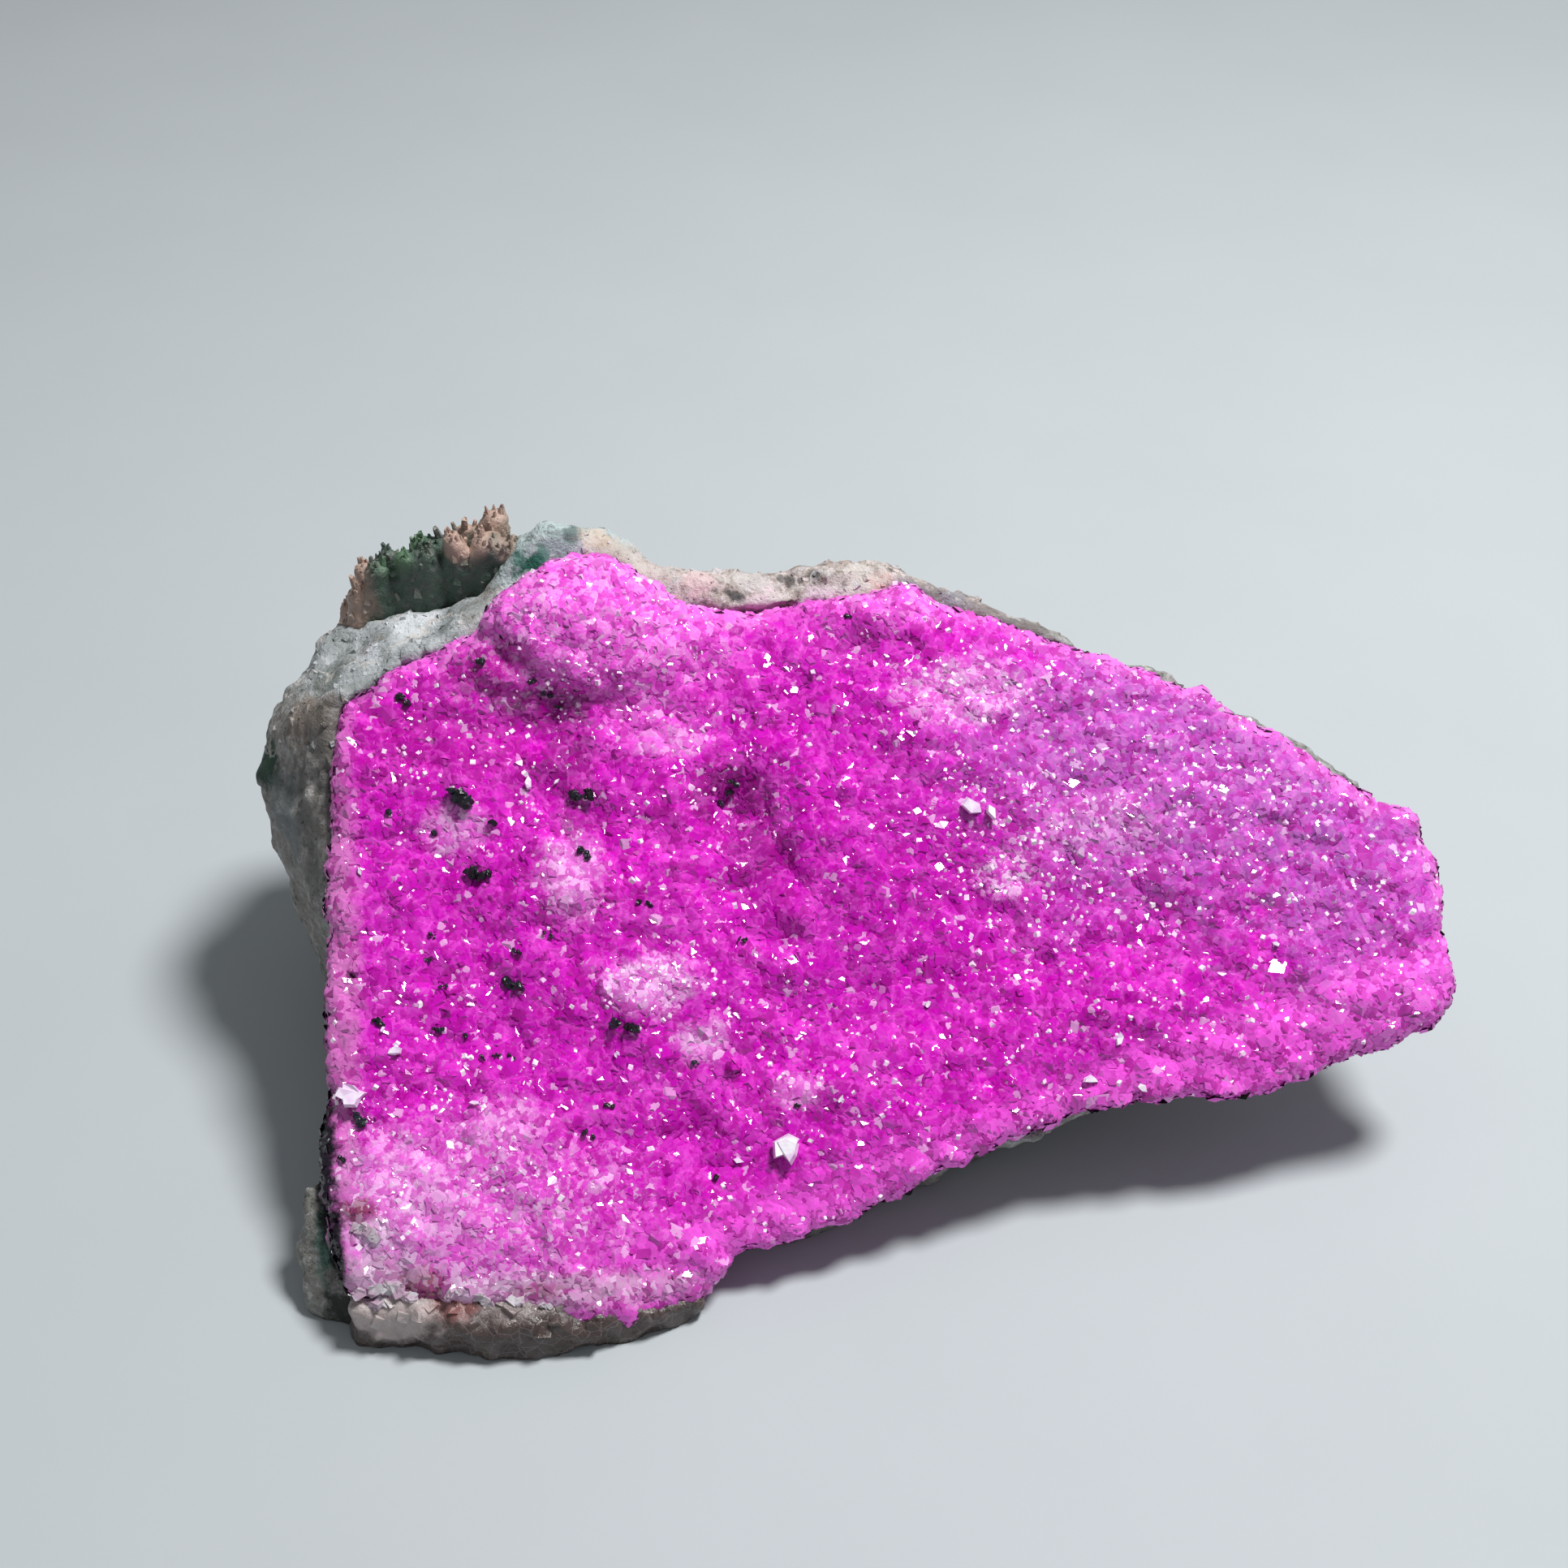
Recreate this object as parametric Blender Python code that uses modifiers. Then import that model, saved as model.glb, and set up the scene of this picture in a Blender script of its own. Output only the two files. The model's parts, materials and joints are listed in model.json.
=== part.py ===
"""Cobaltoan calcite specimen: a tilted plate of pink druse on grey host rock.

Lengths are millimetres until a mesh is finished, which is in metres. Places off
the plate are survey places: x to the right, y away from the viewer, z up from
the table. Places on the plate are u along it, v up it and w out of it.
"""
import math
import random

import bmesh
import bpy
from mathutils import Matrix, Vector, geometry, noise

MM = 0.001
SEED = 41

# Survey frame: the middle of the specimen's box, which becomes the origin.
CENTRE_X = 3.1
CENTRE_Y = -24.8

# The plate: its lower left corner, its slope and how far it faces to the right.
PLATE_CORNER = (-21.9, -41.9, 3.5)
PLATE_SLOPE = math.radians(38.6)
PLATE_TURN = math.radians(4.5)

# Gaps between neighbouring bodies, and how deep the druse crust goes.
GAP = 0.3
CLEARANCE_VOXEL = 0.4
CLEARANCE_TRIANGLES = 700
TABLE_WIDTH = 120.0
TABLE_DEPTH = 10.0
CRUST_DEPTH = 1.7
CRUST_INSET = 0.7
CRYSTAL_PITCH = 1.75
CRYSTAL_HEIGHTS = (0.15, 0.9)
EDGE_ROUND = 0.55

# The druse's outline on the plate (u, v), anticlockwise from the lower left corner.
DRUSE_OUTLINE = [
    (0.0, 0.0), (2.8, -0.2), (6.9, -1.0), (10.9, -2.1), (15.0, -2.7), (17.9, -2.3),
    (19.2, -0.6), (21.7, -0.1), (26.0, 1.2), (30.3, 3.0), (33.8, 4.5), (37.7, 5.5),
    (40.7, 6.1), (43.3, 6.3), (45.6, 5.6), (49.3, 6.5), (52.1, 7.6), (53.9, 8.1),
    (57.0, 9.0), (58.3, 10.9), (57.9, 12.4), (57.8, 13.7), (58.1, 16.3), (57.3, 18.6),
    (57.0, 20.1), (55.4, 20.9), (52.9, 22.4), (49.6, 25.0), (47.1, 26.7), (42.9, 28.9),
    (38.6, 30.9), (33.4, 32.6), (30.4, 34.1), (28.2, 33.5), (22.4, 33.3), (19.8, 33.1),
    (17.6, 33.7), (16.0, 35.0), (14.3, 36.0), (12.1, 36.1), (10.3, 34.8), (8.5, 33.9),
    (8.0, 32.5), (3.7, 31.1), (0.2, 29.0), (0.1, 27.7), (-0.3, 24.2), (-0.8, 21.2),
    (-0.5, 16.9), (-0.8, 12.7), (-0.6, 8.6), (-1.3, 5.7),
]

# Swells and hollows of the druse: u, v, half width, half height, rise.
DRUSE_FORMS = {
    "upper_left_lump": (13.4, 33.6, 6.6, 4.6, 2.1),
    "hollow_under_lump": (11.5, 28.0, 3.6, 1.7, -0.8),
    "lower_left_bulge": (6.5, 1.4, 10.0, 4.6, 1.0),
    "crevice": (20.6, 22.6, 1.7, 1.9, -1.0),
    "crevice_tail": (23.4, 18.6, 1.0, 3.0, -0.5),
    "right_of_crevice": (27.5, 21.5, 5.0, 6.5, 0.8),
    "pale_step": (33.0, 27.6, 5.5, 3.2, 0.8),
    "upper_edge_bump": (30.4, 33.0, 2.6, 1.6, 0.7),
    "middle_hollow": (31.0, 15.5, 5.0, 5.0, -0.5),
    "left_hollow": (5.4, 15.7, 4.0, 5.5, -0.45),
    "upper_left_hollow": (5.6, 26.6, 4.5, 2.4, -0.4),
    "lower_hollow": (15.0, 4.2, 4.5, 2.6, -0.5),
    "pale_mound_low": (16.0, 13.0, 3.0, 2.0, 0.6),
    "pale_mound_mid": (11.8, 18.6, 2.4, 1.8, 0.5),
    "pale_mound_foot": (8.0, 6.6, 2.2, 1.8, 0.5),
    "right_swell": (45.0, 22.0, 8.0, 6.0, 0.9),
    "right_end_swell": (54.0, 13.0, 4.0, 4.5, 0.5),
}

# The host rock's lumps. Each is the hull of a few corners, and together they
# make one body. FLOOR_DIP carries them below the table before the base is cut.
FLOOR_DIP = -1.5
SLAB_OUTLINE = [
    (0.4, 0.6), (-0.3, 8.0), (-0.2, 20.0), (-0.5, 28.0), (3.0, 31.6), (8.0, 34.6),
    (12.0, 36.6), (17.0, 35.4), (20.0, 34.2), (30.0, 34.8), (34.0, 33.6), (40.0, 31.3),
    (47.7, 27.8), (53.7, 23.4), (57.0, 20.6), (56.6, 16.0), (56.2, 11.6), (51.5, 9.2),
    (45.0, 7.4), (38.0, 7.0), (30.0, 4.6), (20.0, 1.4), (8.0, 0.0),
]
SLAB_TOP = -0.6
SLAB_BOTTOM_LEFT = -6.5
SLAB_BOTTOM_RIGHT = -3.6
ROCK_LUMPS = {
    "wedge": [
        (-20.0, -42.0, FLOOR_DIP), (-12.0, -42.2, FLOOR_DIP), (-4.0, -39.0, FLOOR_DIP),
        (6.0, -33.6, FLOOR_DIP), (14.0, -26.0, FLOOR_DIP), (17.0, -18.0, FLOOR_DIP),
        (13.0, -9.5, FLOOR_DIP), (3.0, -6.2, FLOOR_DIP), (-10.0, -6.6, FLOOR_DIP),
        (-19.0, -9.6, FLOOR_DIP), (-22.6, -18.0, FLOOR_DIP), (-22.2, -32.0, FLOOR_DIP),
        (-20.8, -39.6, 2.2), (-23.8, -30.0, 5.0), (-22.2, -21.5, 17.3), (-10.5, -16.5, 20.3),
        (7.0, -15.5, 19.3), (19.5, -18.0, 14.8), (24.0, -25.0, 8.0), (14.0, -33.0, 5.4),
        (0.0, -38.0, 3.2), (19.0, -12.5, 9.0), (16.0, -10.5, 13.5), (3.0, -5.0, 9.0),
        (0.0, -7.6, 19.5), (-12.0, -5.4, 10.0), (-13.0, -7.4, 20.0), (-22.5, -8.4, 11.0),
        (-21.5, -8.8, 18.0),
    ],
    "left_bump": [
        (-29.6, -16.6, 15.6), (-29.4, -17.4, 14.0), (-27.8, -16.6, 18.7),
        (-26.0, -14.0, 20.6), (-25.4, -10.6, 21.0), (-28.6, -18.0, 10.6),
        (-27.4, -18.4, 6.4), (-26.4, -20.0, 2.0), (-24.6, -22.0, FLOOR_DIP),
        (-24.8, -13.0, FLOOR_DIP), (-26.4, -10.4, 13.0), (-15.5, -11.4, 23.9),
        (-15.2, -14.4, 24.4), (-23.2, -19.4, 21.7), (-22.6, -28.0, 14.0),
        (-14.0, -8.0, 22.8), (-24.5, -7.8, 18.6), (-15.0, -6.4, 12.0),
    ],
    "shoulder": [
        (-15.8, -12.2, 26.0), (-12.6, -11.2, 28.3), (-10.6, -11.6, 27.4),
        (-8.0, -12.6, 25.5), (-6.4, -12.2, 24.2), (-14.6, -8.4, 24.0),
        (-7.0, -7.8, 21.6), (-16.0, -14.5, 22.0), (-7.0, -15.5, 21.0),
        (-12.0, -6.0, 12.0), (-12.0, -14.0, 12.0), (-5.0, -7.0, 12.0),
    ],
    "shelf": [
        (-8.0, -12.4, 24.9), (-3.0, -11.7, 24.6), (-0.3, -11.2, 25.0), (5.1, -11.0, 25.3),
        (6.8, -11.5, 24.8), (9.8, -12.3, 24.0), (14.8, -13.0, 22.3), (-8.0, -8.4, 21.2),
        (4.0, -8.0, 21.0), (12.0, -9.6, 18.0), (19.0, -13.6, 15.6), (-6.0, -15.6, 21.0),
        (10.0, -15.6, 20.0), (17.0, -17.0, 17.0), (0.0, -6.0, 11.0), (14.0, -9.4, 10.0),
        (20.0, -16.0, 11.0),
    ],
    "toe": [
        (-23.6, -37.2, 7.0), (-24.9, -39.0, 4.2), (-25.1, -40.4, 2.6), (-24.7, -41.5, 1.0),
        (-23.7, -42.6, FLOOR_DIP), (-22.0, -43.4, FLOOR_DIP), (-21.6, -42.4, 2.4),
        (-20.5, -38.0, 5.4), (-20.0, -40.0, FLOOR_DIP), (-23.4, -34.0, FLOOR_DIP),
        (-21.6, -34.0, 8.0),
    ],
    "lower_lip": [
        (8.6, -35.8, 4.4), (13.6, -35.2, 5.2), (17.8, -33.6, 6.4), (15.0, -30.5, 2.6),
        (9.0, -31.5, 2.0), (12.0, -33.0, 6.8), (18.5, -31.0, 7.0),
    ],
}
ROCK_VOXEL = 0.85
ROCK_TRIANGLES = 4200
ROCK_COARSE_NOISE = (5.5, 0.55)
ROCK_FINE_NOISE = (2.1, 0.22)

# The colourless seam under the druse's lower left edge.
SEAM_CORNERS = [
    (-21.7, -43.7, FLOOR_DIP), (-17.5, -44.2, FLOOR_DIP), (-14.0, -44.7, FLOOR_DIP),
    (-8.5, -43.7, FLOOR_DIP), (-4.0, -41.9, 0.2), (-21.5, -43.9, 2.6), (-17.5, -44.4, 2.5),
    (-13.5, -44.8, 2.0), (-9.0, -44.2, 1.8), (-4.3, -42.4, 1.7), (-21.5, -40.6, FLOOR_DIP),
    (-21.2, -41.2, 3.4), (-12.0, -41.6, FLOOR_DIP), (-4.2, -40.9, 0.6), (-12.0, -42.0, 2.6),
]
SEAM_VOXEL = 0.5
SEAM_TRIANGLES = 600
SEAM_NOISE = (1.6, 0.2)

# The rear ridge: its crest from left to right (x, z), and its fingers.
RIDGE_CREST = [
    (-25.2, 21.2), (-23.8, 23.8), (-21.2, 26.2), (-19.2, 26.9), (-16.6, 27.9), (-14.8, 27.1),
]
RIDGE_ROOTS = [(-25.2, 18.6), (-14.8, 22.6)]
RIDGE_ROWS = (-11.2, -9.2)
RIDGE_STEP = 1.45
FINGER_RADII = (0.75, 1.1)
FINGER_TAPER = 0.6
FINGER_SIDES = 6
RIDGE_VOXEL = 0.42
RIDGE_TRIANGLES = 1200


def at(x, y, z):
    """A survey place in millimetres as a point of the part's frame in metres."""
    return Vector((x - CENTRE_X, y - CENTRE_Y, z)) * MM


PLATE_AXES = Matrix.Rotation(PLATE_TURN, 3, 'Z') @ Matrix.Rotation(PLATE_SLOPE, 3, 'X')
PLATE_FRAME = Matrix.Translation(at(*PLATE_CORNER)) @ PLATE_AXES.to_4x4() @ Matrix.Scale(MM, 4)


def srgb(red, green, blue):
    """An 8-bit colour as linear RGBA."""
    linear = [((c / 255 + 0.055) / 1.055) ** 2.4 for c in (red, green, blue)]
    return (*linear, 1.0)


def material(name, colour, roughness, metallic=0.0):
    made = bpy.data.materials.new(name)
    made.use_nodes = True
    shader = made.node_tree.nodes["Principled BSDF"]
    shader.inputs["Base Color"].default_value = colour
    shader.inputs["Roughness"].default_value = roughness
    shader.inputs["Metallic"].default_value = metallic
    return made


def collection(name):
    made = bpy.data.collections.new(name)
    bpy.context.scene.collection.children.link(made)
    return made


def new_object(name, bm, home, finish=None):
    """Turn a bmesh into an object in the collection home."""
    mesh = bpy.data.meshes.new(name)
    bm.to_mesh(mesh)
    bm.free()
    made = bpy.data.objects.new(name, mesh)
    home.objects.link(made)
    if finish:
        mesh.materials.append(finish)
    return made


def settle(obj):
    """Apply the object's modifiers to its mesh."""
    graph = bpy.context.evaluated_depsgraph_get()
    mesh = bpy.data.meshes.new_from_object(obj.evaluated_get(graph))
    obj.modifiers.clear()
    obj.data = mesh


def keep_largest(obj):
    """Drop the small scraps that a cut or a melt left beside the body."""
    bm = bmesh.new()
    bm.from_mesh(obj.data)
    seen = set()
    bodies = []
    for start in bm.verts:
        if start in seen:
            continue
        seen.add(start)
        body = [start]
        for vert in body:
            for edge in vert.link_edges:
                other = edge.other_vert(vert)
                if other not in seen:
                    seen.add(other)
                    body.append(other)
        bodies.append(body)
    for body in sorted(bodies, key=len)[:-1]:
        bmesh.ops.delete(bm, geom=body, context='VERTS')
    bm.to_mesh(obj.data)
    bm.free()


def as_cutter(obj):
    obj.hide_render = True
    obj.display_type = 'WIRE'


def add_hull(bm, points):
    """Add the convex hull of the points to a bmesh."""
    verts = [bm.verts.new(p) for p in points]
    made = bmesh.ops.convex_hull(bm, input=verts)
    loose = [g for g in made["geom_interior"] if isinstance(g, bmesh.types.BMVert)]
    bmesh.ops.delete(bm, geom=loose, context='VERTS')


def melt(obj, voxel):
    """Melt overlapping lumps into one even skin."""
    remesh = obj.modifiers.new("melt", 'REMESH')
    remesh.mode = 'VOXEL'
    remesh.voxel_size = voxel * MM
    settle(obj)
    keep_largest(obj)


def thin(obj, triangles):
    """Thin a skin to about a triangle count, which leaves flat faces and edges."""
    have = sum(len(face.vertices) - 2 for face in obj.data.polygons)
    collapse = obj.modifiers.new("thin", 'DECIMATE')
    collapse.ratio = min(1.0, triangles / have)
    settle(obj)


def roughen(obj, scale, height, seed):
    """Push the vertices in or out by smooth noise of one scale."""
    bm = bmesh.new()
    bm.from_mesh(obj.data)
    bm.normal_update()
    shift = Vector((seed, seed * 0.7, seed * 1.3))
    for vert in bm.verts:
        vert.co += vert.normal * noise.noise(vert.co / (scale * MM) + shift) * height * MM
    bm.to_mesh(obj.data)
    bm.free()


def subtract(obj, cutter):
    """Cut one closed skin with another. The exact solver returns nothing for the rock."""
    cut = obj.modifiers.new("clear_" + cutter.name, 'BOOLEAN')
    cut.operation = 'DIFFERENCE'
    cut.solver = 'MANIFOLD'
    cut.object = cutter
    settle(obj)
    keep_largest(obj)


def grown_copy(obj, distance, home):
    """A grown copy of a melted body, to clear its place in a neighbour."""
    bm = bmesh.new()
    bm.from_mesh(obj.data)
    bm.normal_update()
    for vert in bm.verts:
        vert.co += vert.normal * distance * MM
    made = new_object(obj.name + "_clearance", bm, home)
    melt(made, CLEARANCE_VOXEL)
    thin(made, CLEARANCE_TRIANGLES)
    as_cutter(made)
    return made


def offset_outline(outline, distance):
    """An anticlockwise outline moved outward by a distance."""
    moved = []
    for i, (u, v) in enumerate(outline):
        before = Vector(outline[i - 1])
        after = Vector(outline[(i + 1) % len(outline)])
        along = (after - before).normalized()
        moved.append((u + along.y * distance, v - along.x * distance))
    return moved


def prism(bm, outline, bottom, top):
    """Add a prism on the plate. bottom is a function of (u, v), top a number."""
    ring = [bm.verts.new((u, v, top)) for u, v in outline]
    face = bm.faces.new(ring)
    made = bmesh.ops.extrude_face_region(bm, geom=[face])
    for vert in made["geom"]:
        if isinstance(vert, bmesh.types.BMVert):
            vert.co.z = bottom(vert.co.x, vert.co.y)
    bmesh.ops.recalc_face_normals(bm, faces=bm.faces)
    bmesh.ops.triangulate(bm, faces=[f for f in bm.faces if len(f.verts) > 4])


def resample(outline, pitch, jitter, rng):
    """Points along a closed outline about a pitch apart, corners kept."""
    points = []
    for i, start in enumerate(outline):
        a = Vector(start)
        b = Vector(outline[(i + 1) % len(outline)])
        steps = max(1, round((b - a).length / pitch))
        for k in range(steps):
            point = a.lerp(b, k / steps)
            if k:
                point += Vector((rng.uniform(-jitter, jitter), rng.uniform(-jitter, jitter)))
            points.append(point)
    return points


def edge_distance(point, outline):
    """Distance from a plate point to the outline, negative outside it."""
    nearest = 1e9
    inside = False
    for i, a in enumerate(outline):
        b = outline[(i + 1) % len(outline)]
        foot, along = geometry.intersect_point_line(point, a, b)
        foot = a if along < 0 else b if along > 1 else foot.to_2d()
        nearest = min(nearest, (point - foot).length)
        if (a.y > point.y) != (b.y > point.y):
            if point.x < a.x + (point.y - a.y) * (b.x - a.x) / (b.y - a.y):
                inside = not inside
    return nearest if inside else -nearest


def druse_relief(u, v, margin):
    """Height of the druse over the plate, with its rounded border."""
    height = 0.0
    for fu, fv, half_u, half_v, rise in DRUSE_FORMS.values():
        reach = math.hypot((u - fu) / half_u, (v - fv) / half_v)
        if reach < 1.4:
            blend = max(0.0, min(1.0, (1.4 - reach) / 0.9))
            height += rise * blend * blend * (3 - 2 * blend)
    height += 0.35 * noise.noise(Vector((u / 6.0, v / 6.0, 3.1)))
    height += 0.2 * noise.noise(Vector((u / 2.3, v / 2.3, 7.7)))
    height -= EDGE_ROUND * max(0.0, 1.0 - margin / 1.3) ** 2
    return height


def lattice(outline, pitch, rng):
    """Jittered triangular lattice points well inside an outline."""
    points = []
    row_height = pitch * math.sqrt(0.75)
    v = -4.0
    row = 0
    while v < 38.0:
        u = -2.0 + (row % 2) * pitch / 2
        while u < 60.0:
            point = Vector((u + rng.uniform(-0.3, 0.3) * pitch, v + rng.uniform(-0.3, 0.3) * pitch))
            if edge_distance(point, outline) > pitch * 0.5:
                points.append(point)
            u += pitch
        v += row_height
        row += 1
    return points


def make_druse(home, finish):
    """The pink crust: a closed plate whose upper side is grown over with crystals."""
    rng = random.Random(SEED)
    rim = resample(DRUSE_OUTLINE, CRYSTAL_PITCH, 0.12, rng)
    inner = lattice(rim, CRYSTAL_PITCH, rng)
    loop = [(i, (i + 1) % len(rim)) for i in range(len(rim))]
    points, _, faces, *_ = geometry.delaunay_2d_cdt(rim + inner, loop, [], 1, 1e-5)
    bm = bmesh.new()
    verts = [bm.verts.new((p.x, p.y, 0.0)) for p in points]
    for vert in verts:
        margin = max(0.0, edge_distance(vert.co.to_2d(), rim))
        vert.co.z = druse_relief(vert.co.x, vert.co.y, margin)
    for corners in faces:
        bm.faces.new([verts[i] for i in corners])
    bmesh.ops.recalc_face_normals(bm, faces=bm.faces)
    if sum(f.normal.z for f in bm.faces) < 0:
        bmesh.ops.reverse_faces(bm, faces=bm.faces)

    skin = list(bm.faces)
    border = [e for e in bm.edges if len(e.link_faces) == 1]
    skirt = bmesh.ops.extrude_edge_only(bm, edges=border)["geom"]
    lower = [g for g in skirt if isinstance(g, bmesh.types.BMVert)]
    inset = {tuple(round(c, 4) for c in a): b
             for a, b in zip(rim, offset_outline(rim, -CRUST_INSET))}
    for vert in lower:
        u, v = inset[tuple(round(c, 4) for c in vert.co.to_2d())]
        vert.co = (u, v, -CRUST_DEPTH)
    bottom_ring = [g for g in skirt if isinstance(g, bmesh.types.BMEdge)]
    bottom_ring = [e for e in bottom_ring if len(e.link_faces) == 1]
    base = bmesh.ops.contextual_create(bm, geom=bottom_ring)["faces"]
    bmesh.ops.triangulate(bm, faces=base)

    tips = bmesh.ops.poke(bm, faces=skin)["verts"]
    for tip in tips:
        tip.normal_update()
        lean = Vector((rng.uniform(-0.2, 0.2), rng.uniform(-0.2, 0.2), 0.0))
        tip.co += tip.normal * rng.uniform(*CRYSTAL_HEIGHTS) + lean
    bmesh.ops.recalc_face_normals(bm, faces=bm.faces)
    bmesh.ops.transform(bm, matrix=PLATE_FRAME, verts=bm.verts)
    return new_object("pink_calcite_druse", bm, home, finish)


def make_druse_clearance(home):
    """The space that the druse takes out of its neighbours, open above it."""
    bm = bmesh.new()
    outline = offset_outline(DRUSE_OUTLINE, GAP + 0.15)
    prism(bm, outline, lambda u, v: -CRUST_DEPTH - GAP, 12.0)
    bmesh.ops.transform(bm, matrix=PLATE_FRAME, verts=bm.verts)
    made = new_object("druse_clearance", bm, home)
    as_cutter(made)
    return made


def make_table(home):
    """The space under the table, which cuts a flat face to rest on."""
    bm = bmesh.new()
    place = Matrix.Translation((0.0, 0.0, -TABLE_DEPTH / 2 * MM))
    size = Matrix.Diagonal((TABLE_WIDTH * MM, TABLE_WIDTH * MM, TABLE_DEPTH * MM, 1.0))
    bmesh.ops.create_cube(bm, size=1.0, matrix=place @ size)
    made = new_object("table", bm, home)
    as_cutter(made)
    return made


def slab_bottom(u, v):
    """Depth of the rock slab under the druse, thinner to the right."""
    share = max(0.0, min(1.0, u / 55.0))
    return SLAB_BOTTOM_LEFT + (SLAB_BOTTOM_RIGHT - SLAB_BOTTOM_LEFT) * share


def make_rock(home, finish):
    """The host rock: hulls melted together and weathered."""
    bm = bmesh.new()
    prism(bm, SLAB_OUTLINE[::-1], slab_bottom, SLAB_TOP)
    bmesh.ops.transform(bm, matrix=PLATE_FRAME, verts=bm.verts)
    for corners in ROCK_LUMPS.values():
        add_hull(bm, [at(*corner) for corner in corners])
    made = new_object("matrix_rock", bm, home, finish)
    melt(made, ROCK_VOXEL)
    roughen(made, *ROCK_COARSE_NOISE, 11.0)
    roughen(made, *ROCK_FINE_NOISE, 5.0)
    thin(made, ROCK_TRIANGLES)
    return made


def make_seam(home, finish):
    bm = bmesh.new()
    add_hull(bm, [at(*corner) for corner in SEAM_CORNERS])
    made = new_object("pale_calcite_seam", bm, home, finish)
    melt(made, SEAM_VOXEL)
    roughen(made, *SEAM_NOISE, 2.0)
    thin(made, SEAM_TRIANGLES)
    return made


def along(profile, x):
    """Height at x on a polyline of (x, z) points."""
    for (xa, za), (xb, zb) in zip(profile, profile[1:]):
        if x <= xb:
            return za + (zb - za) * (x - xa) / (xb - xa)
    return profile[-1][1]


def make_ridge(home, finish):
    """Upright fingers in rows on one root, melted together."""
    rng = random.Random(SEED + 1)
    bm = bmesh.new()
    left, right = RIDGE_ROOTS[0][0], RIDGE_ROOTS[-1][0]
    front, back = RIDGE_ROWS[0], RIDGE_ROWS[-1]
    roots = []
    for x in (left, right):
        root = along(RIDGE_ROOTS, x)
        crest = along(RIDGE_CREST, x)
        for y in (front - 0.3, back + 0.4):
            roots.append(at(x, y, root))
            roots.append(at(x, y, root + 0.45 * (crest - root)))
    add_hull(bm, roots)
    for row, y in enumerate(RIDGE_ROWS):
        x = left + 0.25 + 0.4 * (row % 2)
        while x < right:
            root = along(RIDGE_ROOTS, x)
            top = along(RIDGE_CREST, x) - rng.uniform(0.0, 1.1) - 0.4 * row
            radius = rng.uniform(*FINGER_RADII)
            tilt = Matrix.Rotation(rng.uniform(-0.14, 0.14), 4, 'Y') @ Matrix.Rotation(
                rng.uniform(0.0, math.pi), 4, 'Z')
            place = Matrix.Translation(at(x, y, (root + top) / 2)) @ tilt
            bmesh.ops.create_cone(bm, cap_ends=True, segments=FINGER_SIDES, radius1=radius * MM,
                                  radius2=radius * FINGER_TAPER * MM, depth=(top - root) * MM, matrix=place)
            x += RIDGE_STEP * rng.uniform(0.85, 1.15)
    made = new_object("rear_crystal_ridge", bm, home, finish)
    melt(made, RIDGE_VOXEL)
    thin(made, RIDGE_TRIANGLES)
    return made


def main():
    for obj in list(bpy.data.objects):
        bpy.data.objects.remove(obj, do_unlink=True)
    parts = collection("cobaltoan_calcite_specimen")
    cutters = collection("clearances")

    make_druse(parts, material("cobaltoan_pink", srgb(208, 60, 194), 0.25))
    rock = make_rock(parts, material("grey_host_rock", srgb(104, 104, 104), 0.8))
    seam = make_seam(parts, material("pale_calcite", srgb(150, 128, 130), 0.35))
    ridge = make_ridge(parts, material("dark_ridge", srgb(82, 88, 81), 0.6))

    druse_space = make_druse_clearance(cutters)
    table = make_table(cutters)
    subtract(seam, druse_space)
    subtract(rock, druse_space)
    subtract(rock, grown_copy(seam, GAP, cutters))
    subtract(rock, grown_copy(ridge, GAP, cutters))
    subtract(seam, table)
    subtract(rock, table)


main()
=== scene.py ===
"""Cobaltoan calcite specimen: magenta druse on a wedge of grey host rock."""
import json
import math
import random

import bpy
import numpy as np
from mathutils import Euler, Matrix, Vector, noise
from mathutils.bvhtree import BVHTree
from mathutils.kdtree import KDTree

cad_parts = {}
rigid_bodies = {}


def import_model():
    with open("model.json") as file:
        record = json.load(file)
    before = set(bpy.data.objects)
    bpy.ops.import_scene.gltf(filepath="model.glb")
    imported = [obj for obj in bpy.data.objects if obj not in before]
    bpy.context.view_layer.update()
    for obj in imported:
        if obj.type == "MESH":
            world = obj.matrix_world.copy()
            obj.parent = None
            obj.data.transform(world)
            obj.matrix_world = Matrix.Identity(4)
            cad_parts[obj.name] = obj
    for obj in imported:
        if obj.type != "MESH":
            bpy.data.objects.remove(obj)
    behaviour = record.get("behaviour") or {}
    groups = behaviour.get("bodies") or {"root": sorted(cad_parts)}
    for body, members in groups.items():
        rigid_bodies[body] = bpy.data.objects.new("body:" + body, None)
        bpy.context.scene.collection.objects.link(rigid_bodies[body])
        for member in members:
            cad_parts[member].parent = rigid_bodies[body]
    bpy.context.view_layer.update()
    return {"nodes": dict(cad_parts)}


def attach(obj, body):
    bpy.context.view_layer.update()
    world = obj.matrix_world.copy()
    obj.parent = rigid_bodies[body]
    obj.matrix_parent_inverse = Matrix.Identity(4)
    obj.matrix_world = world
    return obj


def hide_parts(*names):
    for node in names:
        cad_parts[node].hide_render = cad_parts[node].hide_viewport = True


bl_info = {
    "name": "Cobaltoan Calcite Specimen",
    "version": (1, 0, 0),
    "blender": (4, 5, 0),
    "location": "View3D > Sidebar > Specimen",
    "description": "Builds a magenta calcite druse on its host rock around the packed solids",
    "category": "Object",
}

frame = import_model()

MM = 0.001

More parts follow.
